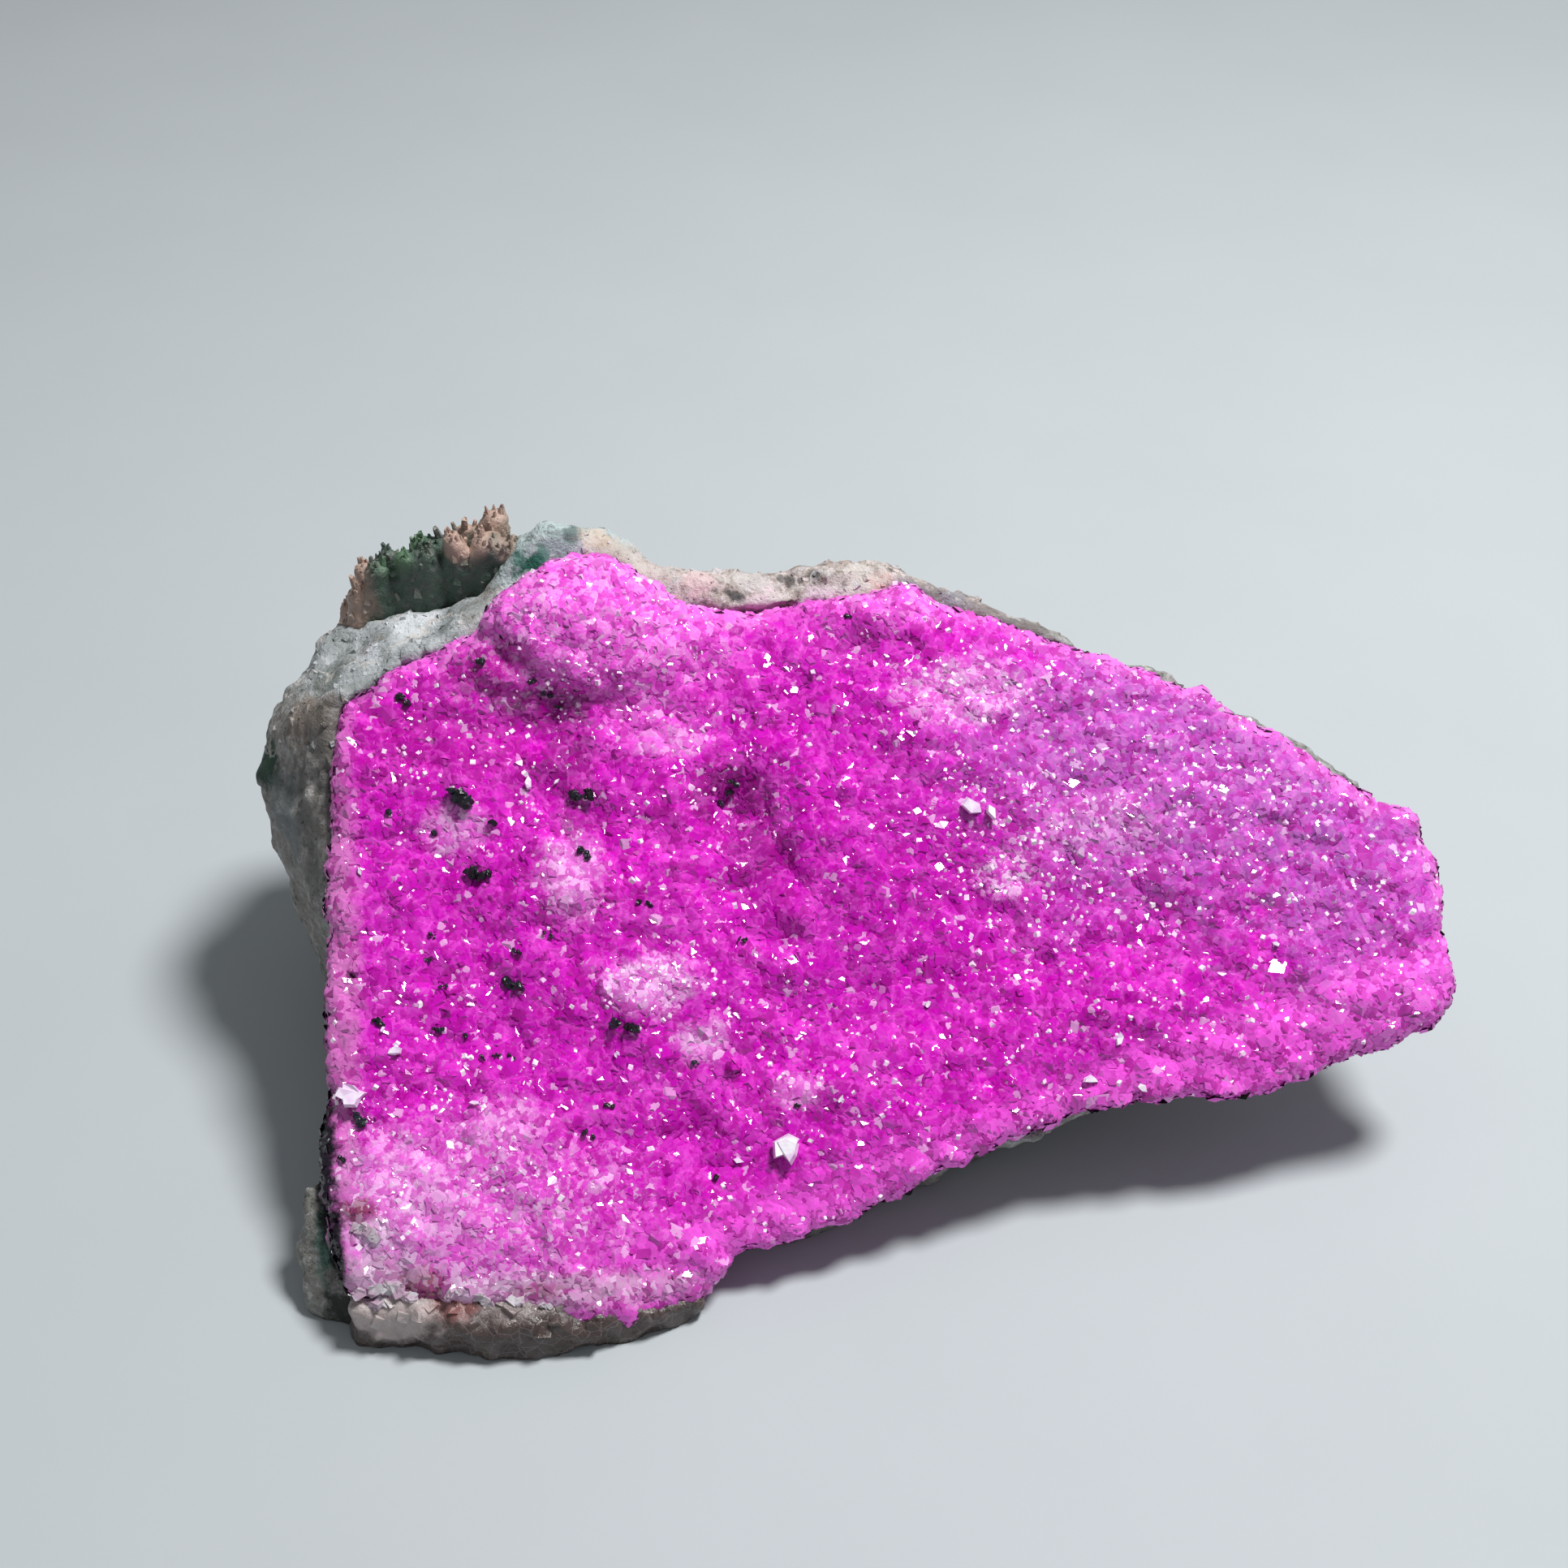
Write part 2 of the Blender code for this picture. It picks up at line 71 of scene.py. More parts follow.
# The druse plate as the solids have it: lower left corner, slope, turn.
PLATE_CORNER = Vector((-25.0, -17.1, 3.5)) * MM
PLATE_SLOPE = math.radians(38.6)
PLATE_TURN = math.radians(4.5)
PLATE_TURNS = Euler((PLATE_SLOPE, 0.0, PLATE_TURN), 'XYZ')
PLATE_AXES = PLATE_TURNS.to_matrix()
PLATE_NORMAL = PLATE_AXES @ Vector((0.0, 0.0, 1.0))

# The camera of the photograph, and its picture's side in pixels.
CAMERA_PLACE = Vector((-3.1, -85.5, 92.6)) * MM
CAMERA_PITCH = math.radians(50.0)
CAMERA_LENS = 50.0
SENSOR = 36.0
PICTURE = 1932

# Parts of the druse whose colour differs: u, v, half width, half height in
# millimetres on the plate, colour name, strength. Some of them are painted light or shade, as marked below.
DRUSE_ZONES = {
    "upper_left_lump": (13.4, 33.4, 7.6, 5.0, "lump", 0.92),
    "below_lump_right": (18.6, 29.6, 4.2, 2.2, "lump", 0.12),
    "upper_middle": (27.0, 31.5, 4.0, 1.8, "lump", 0.15),
    # The lilac zones: partly the crystals' own lilac, partly a painted sheen where many faces reflect the
    # light.
    "right_lilac": (45.5, 24.0, 12.5, 8.5, "lilac", 0.72),
    "right_end": (54.5, 14.5, 5.5, 7.0, "lilac", 0.55),
    "pale_step": (33.2, 27.8, 3.4, 1.7, "pale", 0.6),
    "upper_edge_bump": (30.6, 33.2, 2.6, 1.6, "lump", 0.7),
    "lower_left": (5.0, 2.4, 8.5, 4.2, "dusty", 0.6),
    "lower_left_pale": (2.0, 2.6, 4.0, 3.0, "pale", 0.5),
    "pale_low": (15.9, 13.3, 2.3, 1.5, "pale", 0.62),
    "pale_mid": (11.9, 19.2, 1.5, 2.2, "pale", 0.55),
    "pale_left": (6.1, 22.0, 1.6, 1.3, "pale", 0.45),
    "pale_right": (34.8, 18.2, 1.6, 1.2, "pale", 0.85),
    "veil_below_lump": (16.6, 27.2, 3.4, 1.8, "lump", 0.4),
    "veil_spot": (17.6, 26.2, 1.6, 1.0, "pale", 0.4),
    "pale_foot": (8.0, 6.5, 2.2, 1.3, "pale", 0.4),
    "pale_hand": (18.2, 10.2, 1.3, 1.0, "pale", 0.5),
    "pale_knee": (23.0, 7.4, 1.4, 0.9, "pale", 0.35),
    "pale_far": (40.0, 20.4, 3.4, 1.6, "pale", 0.35),
    "deep_middle": (31.6, 18.6, 5.0, 4.0, "deep", 0.8),
    "deep_middle_low": (28.6, 13.4, 6.0, 4.0, "deep", 0.75),
    "deep_upper": (25.0, 28.2, 7.0, 3.2, "deep", 0.7),
    # Partly deeper magenta, partly painted shade beside the lump.
    "deep_and_shade_upper_left": (5.4, 27.0, 4.6, 2.2, "wine", 0.5),
    "deep_left": (5.6, 15.4, 4.4, 5.4, "deep", 0.5),
    "deep_low": (14.6, 4.4, 5.0, 2.8, "deep", 0.5),
    # Painted shade from here to the end: the crevices, the hollows and the ground under and below the lump.
    "shaded_crevice": (20.4, 23.0, 2.1, 1.8, "shadow", 0.75),
    "shade_tail": (21.8, 20.2, 1.5, 2.8, "shadow", 0.42),
    "shade_hand": (16.2, 17.2, 2.2, 1.5, "shadow", 0.22),
    "shade_left": (10.0, 24.4, 1.6, 1.2, "shadow", 0.3),
    "shade_under_edge": (8.0, 30.5, 2.4, 1.3, "wine", 0.85),
    "shade_below_lump": (12.2, 26.4, 1.3, 2.6, "shadow", 0.55),
    "shade_trail": (12.6, 22.8, 1.2, 1.5, "shadow", 0.35),
    "shade_under_lump": (11.2, 28.4, 2.4, 1.0, "shadow", 0.7),
}

# The druse's lower border as a line on the plate, v = slope * u + start, in millimetres.
LOWER_SLOPE = 0.307
LOWER_START = -6.2

# The zones along the border, laid over the others: paler strip, clear passage, frost and rust spots.
BORDER_ZONES = {
    "left_strip": (-0.2, 15.0, 1.1, 14.0, "strip", 0.7),
    "edge_clear": (8.0, -1.9, 9.0, 1.0, "clear", 0.8),
    "corner_clear": (1.6, -0.9, 2.2, 1.4, "clear", 0.85),
    "corner_white": (1.4, 1.5, 1.1, 0.7, "frost", 0.8),
    "far_white": (6.4, -1.6, 1.7, 0.5, "frost", 0.7),
    "corner_rust": (0.6, 2.7, 1.0, 0.6, "rust", 0.95),
    "edge_rust": (3.9, -1.2, 1.1, 0.9, "rust", 0.85),
    "far_rust": (9.6, -1.8, 1.2, 0.4, "rust", 0.45),
}

# The black film between the left edge and the rock, laid over them all.
FILM_ZONES = {
    "foot": (-0.55, 0.6, 0.5, 3.0, "oxide", 1.0),
    "middle": (-1.1, 5.6, 0.65, 3.4, "oxide", 1.0),
    "top": (-1.35, 12.0, 0.45, 5.5, "oxide", 0.9),
    "contact": (1.0, 29.8, 1.3, 0.5, "oxide", 0.4),
}

# Where the tiny white crystals that stand for painted glints lie thickest: u, v, half width, half height in
# millimetres, share.
GLINT_ZONES = (
    (36.0, 20.0, 5.0, 9.0, 1.0), (33.0, 27.8, 3.6, 2.0, 1.0), (46.0, 22.0, 9.0, 7.0, 0.7),
    (13.0, 29.5, 3.5, 1.6, 0.9), (5.5, 26.5, 5.0, 4.0, 0.45), (11.0, 22.5, 5.0, 3.0, 0.5),
    (16.0, 13.3, 3.4, 2.4, 0.8), (3.5, 8.0, 4.0, 3.6, 0.6), (9.0, 4.0, 5.0, 2.6, 0.4),
    (25.0, 8.0, 5.0, 3.0, 0.4), (44.0, 11.0, 6.0, 3.0, 0.45), (29.0, 28.0, 3.0, 2.0, 0.3),
    (55.0, 16.0, 4.0, 4.0, 0.4), (19.0, 24.0, 3.0, 2.0, 0.5), (12.0, 33.5, 4.0, 2.0, 0.35),
)
# The share that every other place has, and how close together the clumps of painted glints lie.
GLINT_LEAST = 0.1
GLINT_CLUMPS = 0.9

# Zones with whitish, frosted crystals among the pink ones, and how many.
FROSTED = {"lump": 0.3, "lilac": 0.15, "pale": 0.85, "dusty": 0.6}

# Dark oxide grains on the druse: picture pixel and size in millimetres.
DARK_GRAINS = [
    (558, 979, 1.6), (715, 979, 1.2), (591, 1078, 1.35), (721, 1052, 0.8), (608, 1013, 0.6),
    (478, 1002, 0.6), (533, 1025, 0.6), (497, 864, 0.75), (597, 818, 0.7), (675, 853, 0.6),
    (530, 1151, 0.5), (526, 1184, 0.45), (637, 1171, 0.65), (675, 1151, 0.6), (794, 1115, 0.7),
    (635, 1211, 1.1), (547, 1217, 0.5), (773, 1261, 1.15), (468, 1259, 0.65), (541, 1268, 0.6),
    (572, 1274, 0.5), (593, 1301, 0.4), (614, 1301, 0.4), (630, 1303, 0.4), (445, 1381, 0.9),
    (421, 1427, 0.5), (752, 1364, 0.6), (724, 1398, 0.65), (881, 1451, 0.6), (915, 1160, 0.5),
    (1048, 761, 0.5), (857, 1309, 0.4), (893, 975, 0.7), (905, 962, 0.6), (884, 990, 0.6),
    (690, 870, 0.5), (655, 838, 0.5), (980, 1362, 0.4),
]

# Clear cleavage blocks in the lower left corner: picture pixel and size.
CLEAR_BLOCKS = [
    (448, 1514, 1.0), (462, 1523, 0.9), (450, 1590, 1.2), (478, 1586, 1.1), (468, 1604, 1.1),
    (502, 1600, 0.9), (598, 1602, 1.0), (634, 1607, 0.9), (558, 1594, 0.7), (676, 1608, 0.6),
]

# White cleavage flakes on the druse, partly painted reflections of cleavage faces that catch the lamp:
# picture pixel and size in millimetres.
WHITE_FLAKES = [
    (983, 1417, 1.7), (432, 1350, 1.4), (1208, 998, 1.1), (655, 965, 0.75), (1381, 1280, 0.75),
    (1335, 1331, 0.75), (1401, 1337, 0.65), (447, 1077, 0.55), (911, 1430, 0.55), (1568, 1165, 0.4),
    (590, 1358, 0.5), (484, 1295, 0.65), (1000, 829, 0.45), (903, 883, 0.4), (1150, 1238, 0.5),
    (1450, 1222, 0.4), (470, 1268, 0.45), (1035, 1355, 0.4), (760, 1300, 0.45), (688, 963, 0.4),
]

# Patches of colour on the host rock: picture pixel, radius in millimetres, colour, strength.
ROCK_PATCHES = (
    (655, 702, 0.9, (18, 90, 70), 1.0), (640, 690, 0.5, (70, 128, 112), 0.8),
    (670, 684, 0.45, (52, 118, 100), 0.8), (692, 668, 0.9, (150, 170, 168), 0.7),
    (706, 656, 0.6, (70, 90, 86), 0.7), (650, 718, 0.5, (232, 232, 236), 0.9),
    (628, 736, 0.6, (226, 228, 230), 0.85), (612, 748, 0.5, (216, 220, 224), 0.8),
    (760, 684, 1.4, (196, 182, 172), 0.75), (735, 664, 0.9, (214, 196, 180), 0.7),
    (800, 706, 1.2, (204, 186, 180), 0.7), (905, 734, 0.3, (48, 46, 48), 0.85),
    (897, 729, 0.22, (56, 54, 54), 0.8), (914, 737, 0.25, (44, 44, 46), 0.85),
    (921, 731, 0.18, (66, 64, 64), 0.7), (962, 714, 0.22, (60, 60, 60), 0.7),
    (986, 715, 0.2, (58, 60, 60), 0.7),
    (880, 727, 0.22, (70, 68, 68), 0.7), (975, 717, 0.3, (52, 54, 54), 0.75),
    (1002, 711, 0.35, (84, 86, 82), 0.7), (1040, 720, 0.3, (70, 70, 70), 0.6),
    (862, 714, 1.0, (224, 196, 196), 0.8), (940, 741, 0.9, (232, 208, 216), 0.85),
    (1012, 742, 1.0, (226, 206, 216), 0.85), (1060, 714, 1.0, (214, 206, 200), 0.75),
    (1090, 724, 0.8, (222, 186, 178), 0.8), (832, 745, 0.6, (206, 188, 178), 0.75),
    (925, 712, 0.8, (206, 200, 198), 0.75), (1150, 742, 1.0, (112, 108, 108), 0.7),
    (1210, 757, 1.0, (124, 116, 116), 0.7), (1270, 776, 1.0, (104, 98, 98), 0.7),
    # The patches on the left facet (pixels x 350 to 405, y 870 to 1075) give its brown-grey and blue-grey,
    # partly darkened as painted shade of that face.
    (326, 946, 1.2, (26, 62, 46), 0.95), (332, 922, 0.7, (44, 78, 60), 0.75),
    (372, 880, 1.7, (128, 110, 98), 0.75), (402, 872, 1.1, (116, 100, 92), 0.7),
    (350, 985, 1.6, (126, 134, 136), 0.7), (382, 1010, 1.2, (108, 104, 98), 0.6),
    # The near-white patches on the light top facet (pixels x 455 to 532, y 760 to 803) are partly painted
    # glints.
    (500, 770, 1.1, (222, 226, 230), 0.7), (455, 803, 0.8, (212, 216, 222), 0.7),
    (532, 760, 0.7, (228, 230, 234), 0.7), (420, 815, 0.9, (112, 118, 114), 0.6),
    (560, 752, 0.7, (120, 126, 122), 0.6), (470, 782, 0.6, (110, 116, 112), 0.6),
    (480, 833, 0.4, (64, 64, 60), 0.7), (520, 815, 0.4, (60, 60, 58), 0.6),
    (398, 905, 1.0, (110, 103, 97), 0.9), (401, 932, 0.9, (104, 100, 95), 0.85),
    (393, 880, 0.9, (118, 110, 102), 0.85), (404, 962, 0.8, (98, 96, 93), 0.8),
    (405, 840, 1.1, (116, 122, 118), 0.75), (446, 848, 0.8, (126, 132, 130), 0.65),
    (548, 774, 0.6, (118, 126, 122), 0.65), (590, 745, 0.7, (132, 140, 136), 0.6),
    (415, 790, 0.9, (138, 144, 142), 0.5), (364, 960, 1.2, (88, 88, 86), 0.5),
    (360, 1030, 1.3, (120, 126, 128), 0.6), (388, 1075, 1.2, (96, 96, 96), 0.6),
    (1108, 729, 0.8, (146, 144, 152), 0.8), (1130, 735, 0.7, (130, 128, 134), 0.7),
    (1178, 742, 0.9, (140, 138, 146), 0.85), (1240, 766, 0.8, (124, 120, 122), 0.7),
)

# Pits in the druse: u, v, radius and depth in millimetres on the plate.
PITS = (
    (20.4, 23.1, 1.3, 0.75), (22.0, 21.6, 0.9, 0.5), (23.2, 19.4, 0.8, 0.4), (11.3, 28.5, 1.1, 0.8),
    (9.2, 31.4, 0.9, 0.6), (14.2, 28.8, 0.8, 0.4), (10.6, 24.2, 0.7, 0.45), (13.4, 22.6, 0.6, 0.35),
    (5.6, 18.0, 0.8, 0.35), (30.4, 16.6, 1.2, 0.35), (27.2, 11.8, 1.0, 0.35), (36.6, 13.4, 0.9, 0.3),
    (17.4, 5.8, 0.9, 0.35), (8.8, 11.6, 0.7, 0.3), (24.6, 26.6, 1.0, 0.35), (40.6, 10.8, 0.8, 0.3),
)

# The sharp lower border of the upper left lump, as u, v points on the plate, how far the bed
# rises above it and drops below it, and how wide each of the two runs out, in millimetres.
LEDGE = ((8.6, 33.6), (9.7, 31.9), (11.6, 29.7), (13.6, 29.0), (18.7, 29.3), (22.0, 30.3), (25.3, 31.4))
LEDGE_RISE = 0.12
LEDGE_RISE_WIDTH = 2.2
LEDGE_DROP = 0.35
LEDGE_DROP_WIDTH = 1.1

# Where the bed's relief is evened out: u, v, half width, half height, share, and how many times
# its height is averaged for that.
LEVELLED = ((19.0, 28.8, 6.0, 3.0, 1.0), (12.5, 31.0, 4.5, 3.6, 0.55))
LEVEL_STEPS = 90

# How far the druse's lower left edge is drawn down over the seam, in millimetres.
EDGE_REACH = 1.1

# Where the rock's rim behind the druse is pressed down and drawn in: u, width, how far, in millimetres.
RIM_PRESS = ((42.8, 4.8, 0.4), (51.5, 3.6, 0.25), (31.5, 4.0, 0.2))
RIM_INWARD = ((37.5, 2.5, 0.3), (43.0, 2.9, 0.9), (51.5, 4.0, 0.2))

# Side of the squares that the druse's outline is searched with, in millimetres.
RIM_CELL = 0.6

# How many times the bed's height is averaged, to tell hollows from knobs for the painted shade in the
# hollows.
RELIEF_STEPS = 160

# Half depth of a zone on the plate, enough to reach through the druse, and its soft border.
ZONE_DEPTH = 30.0
ZONE_SOFT = 0.42

# Tries for a crystal per spacing squared, and how far small crystals outnumber large ones.
CROWDING = 1.3
SMALLER_MORE = 1.8

# Distance between the seam's flakes and between the ridge's needles.
SEAM_FLAKE_SPACING = 0.6 * MM
NEEDLE_SPACING = 0.4 * MM

# A cube's turn that stands it on a corner.
CORNER_UP = (math.radians(45.0), math.radians(35.26), 0.0)

# Corners of a solid nearer than this are welded, in metres.
WELD_DISTANCE = 0.000002

# How many pixels inward a spot is looked for where its own pixel misses the specimen.
INWARD_SHIFTS = range(0, 24, 2)

# How far planted shapes are lifted, and from which size in millimetres a spot has more of them.
PLANT_LIFT = 0.12 * MM
LARGE_SPOT = 0.8

# The lamp's place, what it looks at and the floor's side, in metres.
KEY_PLACE = (0.105, 0.035, 0.3)
KEY_AIM = (0.0, 0.0, 0.012)
FLOOR_SIDE = 6.0


def srgb(red, green, blue):
    """An 8-bit colour as linear RGB."""
    return tuple(((c / 255 + 0.055) / 1.055) ** 2.4 if c > 10 else c / 3294.6 for c in (red, green, blue))


def colour_property(name, description, *rgb):
    return bpy.props.FloatVectorProperty(
        name=name, description=description, subtype='COLOR', size=3, min=0.0, max=1.0,
        default=srgb(*rgb))


def length_property(name, description, millimetres):
    return bpy.props.FloatProperty(
        name=name, description=description, unit='LENGTH', subtype='DISTANCE', precision=5,
        min=0.0, default=millimetres * MM)


class DruseSettings(bpy.types.PropertyGroup):
    """Sizes and colours of the magenta druse."""
    bed_voxel: length_property("Bed Voxel", "Grain of the bed under the crystals", 0.3)
    side_growth: length_property("Side Growth", "How far the bed grows past the solid's sides", 0.34)
    top_growth: length_property("Top Growth", "How far the bed grows above the solid", 0.2)
    sugar_spacing: length_property("Sugar Spacing", "Distance between the tiniest crystals", 0.33)
    fine_spacing: length_property("Fine Spacing", "Distance between the fine crystals", 0.36)
    # Spacing of the tiny white crystals that stand for painted glints.
    glint_spacing: length_property("Glint Spacing", "Least distance between the bright specks", 0.3)
    medium_spacing: length_property("Medium Spacing", "Distance between the middling crystals", 0.95)
    coarse_spacing: length_property("Coarse Spacing", "Distance between the largest crystals", 2.3)
    # Deep magenta of the crystals, also laid as painted shade in the bed's hollows.
    deep: colour_property("Deep", "Magenta in the hollows", 198, 0, 178)
    mid: colour_property("Mid", "Magenta of most crystals", 218, 0, 194)
    lump: colour_property("Lump", "Pink of the upper left lump", 252, 98, 230)
    # Partly the crystals' own lilac, partly a painted sheen on the right side.
    lilac: colour_property("Lilac", "Lilac of the right side", 174, 88, 185)
    pale: colour_property("Pale", "Pale patches", 234, 146, 224)
    dusty: colour_property("Dusty", "Dusty pink of the lower left", 228, 104, 212)
    # Painted shade, laid in the crevices and below the lump.
    shadow: colour_property("Shadow", "Dark crevices", 84, 10, 66)
    edge: colour_property("Edge", "Paler broken edges", 246, 130, 224)
    # Also laid as painted shade under the lump's edge, and in part beside the lump.
    wine: colour_property("Wine", "Darkest crystals", 170, 0, 142)
    frost: colour_property("Frost", "Frosted crystals", 246, 206, 242)
    strip: colour_property("Strip", "Dusty strip along the left edge", 222, 134, 200)
    clear: colour_property("Clear", "Colourless lower left border", 206, 170, 198)
    rust: colour_property("Rust", "Brown-red inclusions", 150, 74, 92)
    oxide: colour_property("Oxide", "Black film on the left edge", 30, 18, 34)


class RockSettings(bpy.types.PropertyGroup):
    """Sizes and colours of the grey host rock."""
    voxel: length_property("Voxel", "Grain of the rock's skin", 0.34)
    grain_spacing: length_property("Grain Spacing", "Distance between the rock's bright grains", 0.62)
    grey: colour_property("Grey", "Main grey-green", 138, 140, 136)
    # Partly the facet's own lighter grey, partly painted light on the top face that the lamp falls on.
    light: colour_property("Light", "Light top facet", 176, 182, 184)
    brown: colour_property("Brown", "Brown-grey left facet", 152, 146, 141)
    tan: colour_property("Tan", "Tan shelf behind the druse", 176, 160, 152)
    malachite: colour_property("Malachite", "Green films", 52, 118, 100)
    black: colour_property("Black", "Black oxide films", 26, 27, 27)


class SeamSettings(bpy.types.PropertyGroup):
    """Sizes and colours of the pale calcite seam."""
    voxel: length_property("Voxel", "Grain of the seam's skin", 0.16)
    clear: colour_property("Clear", "Colourless calcite", 200, 184, 182)
    tan: colour_property("Tan", "Tan-grey calcite", 82, 68, 64)
    red: colour_property("Red", "Brown-red inclusions", 140, 78, 74)


class RidgeSettings(bpy.types.PropertyGroup):
    """Sizes and colours of the crystal ridge behind."""
    voxel: length_property("Voxel", "Grain of the ridge's skin", 0.16)
    # The tips' brown-pink is partly painted light on their tops, the fingers' dark green-black partly
    # painted shade on the ridge's front.
    tip: colour_property("Tip", "Brown-pink finger tips", 188, 158, 144)
    body: colour_property("Body", "Dark green-black fingers", 66, 90, 76)
    moss: colour_property("Moss", "Green tips", 96, 132, 96)


class StageSettings(bpy.types.PropertyGroup):
    """Floor and light."""
    floor: colour_property("Floor", "Pale floor", 184, 190, 193)
    key_power: bpy.props.FloatProperty(
        name="Key Power", description="Strength of the lamp overhead", subtype='POWER',
        min=0.0, default=1.2)
    key_size: length_property("Key Size", "Width of the lamp overhead", 75.0)
    fill: bpy.props.FloatProperty(
        name="Fill", description="Strength of the even light all round", min=0.0, default=0.25)


def deselect():
    """Leave edit mode and let go of every object."""
    if bpy.context.object and bpy.context.object.mode != 'OBJECT':
        bpy.ops.object.mode_set(mode='OBJECT')
    bpy.ops.object.select_all(action='DESELECT')


def activate(obj):
    deselect()
    obj.select_set(True)
    bpy.context.view_layer.objects.active = obj


def modify(obj, kind, **settings):
    """Give an object a modifier and apply it at once."""
    activate(obj)
    modifier = obj.modifiers.new(kind.lower(), kind)
    for key, value in settings.items():
        setattr(modifier, key, value)
    bpy.ops.object.modifier_apply(modifier=modifier.name)


def copy_of_node(node, name):
    """A free copy of a CAD node with its corners welded."""
    mesh = frame["nodes"][node].data.copy()
    mesh.name = name
    obj = bpy.data.objects.new(name, mesh)
    bpy.context.scene.collection.objects.link(obj)
    mesh.materials.clear()
    activate(obj)
    bpy.ops.object.mode_set(mode='EDIT')
    bpy.ops.mesh.select_all(action='SELECT')
    bpy.ops.mesh.remove_doubles(threshold=WELD_DISTANCE)
    bpy.ops.object.mode_set(mode='OBJECT')
    return obj


def remesh(obj, voxel):
    modify(obj, 'REMESH', mode='VOXEL', voxel_size=voxel)


def smooth(obj, steps):
    modify(obj, 'SMOOTH', iterations=steps, factor=0.5)


def displace(obj, kind, size, strength, **settings):
    """Weather a skin with a procedural texture. Lengths in millimetres."""
    texture = bpy.data.textures.new(f"{obj.name}_{kind}_{size}", kind)
    texture.noise_scale = size * MM
    for key, value in settings.items():
        setattr(texture, key, value)
    modify(obj, 'DISPLACE', texture=texture, texture_coords='LOCAL', strength=strength * MM,
           mid_level=0.5)


def swell(obj, distance):
    """Move a skin outward by a distance in millimetres."""
    modify(obj, 'DISPLACE', strength=distance * MM, mid_level=0.0)


def coordinates(mesh):
    co = np.empty(len(mesh.vertices) * 3)
    mesh.vertices.foreach_get("co", co)
    return co.reshape(-1, 3)


def normals(mesh):
    no = np.empty(len(mesh.vertices) * 3)
    mesh.vertices.foreach_get("normal", no)
    return no.reshape(-1, 3)


def move_points(mesh, co):
    mesh.vertices.foreach_set("co", co.ravel())
    mesh.update()


def keep_above_floor(obj):
    """Flatten what the weathering pushed under the table."""
    co = coordinates(obj.data)
    co[:, 2] = np.maximum(co[:, 2], 0.0)
    move_points(obj.data, co)


def set_attribute(mesh, name, values):
    attribute = mesh.attributes.new(name, 'FLOAT', 'POINT')
    attribute.data.foreach_set("value", np.asarray(values, dtype=np.float32))


def ramp(values, start, end):
    """0 at start and before it, 1 at end and past it, evenly between."""
    return np.clip((values - start) / (end - start), 0.0, 1.0)


def strongest(place, zones):
    """The largest share that soft round zones on the plate give to each point."""
    share = np.zeros(len(place))
    for u, v, half_u, half_v, strength in zones:
        away = ((place[:, 0] - u) / half_u) ** 2 + ((place[:, 1] - v) / half_v) ** 2
        share = np.maximum(share, strength * np.exp(-away))
    return share


def blurred(mesh, values, steps):
    """Average a value with its neighbours' along the edges, several times."""
    edges = np.empty(len(mesh.edges) * 2, dtype=np.int64)
    mesh.edges.foreach_get("vertices", edges)
    a, b = edges.reshape(-1, 2).T
    count = np.bincount(a, minlength=len(values)) + np.bincount(b, minlength=len(values))
    for _ in range(steps):
        total = np.bincount(a, weights=values[b], minlength=len(values))
        total += np.bincount(b, weights=values[a], minlength=len(values))
        values = 0.5 * values + 0.5 * total / np.maximum(count, 1)
    return values


def point_tree(places):
    """A search tree of places, each under its own number."""
    tree = KDTree(len(places))
    for i, place in enumerate(places):
        tree.insert(place, i)
    tree.balance()
    return tree


def fracture(obj, spacing, tilt, limit, seed, share):
    """Break a skin into flat faces that lean their own ways. Lengths in metres, share per point."""
    co = coordinates(obj.data)
    rng = np.random.default_rng(seed)
    low = co.min(axis=0) - spacing
    counts = np.ceil((co.max(axis=0) + spacing - low) / spacing).astype(int)
    grid = np.stack(np.meshgrid(*(np.arange(n) for n in counts), indexing='ij'), axis=-1).reshape(-1, 3)
    middles = low + (grid + rng.uniform(0.0, 1.0, grid.shape)) * spacing
    leans = rng.normal(0.0, tilt, grid.shape)
    tree = point_tree(middles)
    nearest = np.array([tree.find(point)[1] for point in co])
    height = np.sum((co - middles[nearest]) * leans[nearest], axis=1)
    height = np.clip(height, -limit, limit) * share
    co += height[:, None] * normals(obj.data)
    move_points(obj.data, co)


def on_plate(points):
    """Places in metres as (u, v, w) on the druse plate in millimetres."""
    return (points - np.array(PLATE_CORNER)) @ np.array(PLATE_AXES) / MM


def pixel_ray(x, y):
    """Direction from the camera through a pixel of the photograph."""
    focal = PICTURE * CAMERA_LENS / SENSOR
    turn = Matrix.Rotation(CAMERA_PITCH, 3, 'X')
    return (turn @ Vector(((x - PICTURE / 2) / focal, (PICTURE / 2 - y) / focal, -1.0))).normalized()


def rim_distance(place):
    """Distance of every point of the druse from its outline on the plate, in millimetres."""
    cells = {(round(u / RIM_CELL), round(v / RIM_CELL)) for u, v, _ in place}
    around = [(i, j) for i in (-1, 0, 1) for j in (-1, 0, 1)]
    border = {(a + i, b + j) for a, b in cells for i, j in around} - cells
    tree = point_tree([(a * RIM_CELL, b * RIM_CELL, 0.0) for a, b in border])
    return np.array([tree.find((u, v, 0.0))[2] for u, v, _ in place]) - RIM_CELL / 2


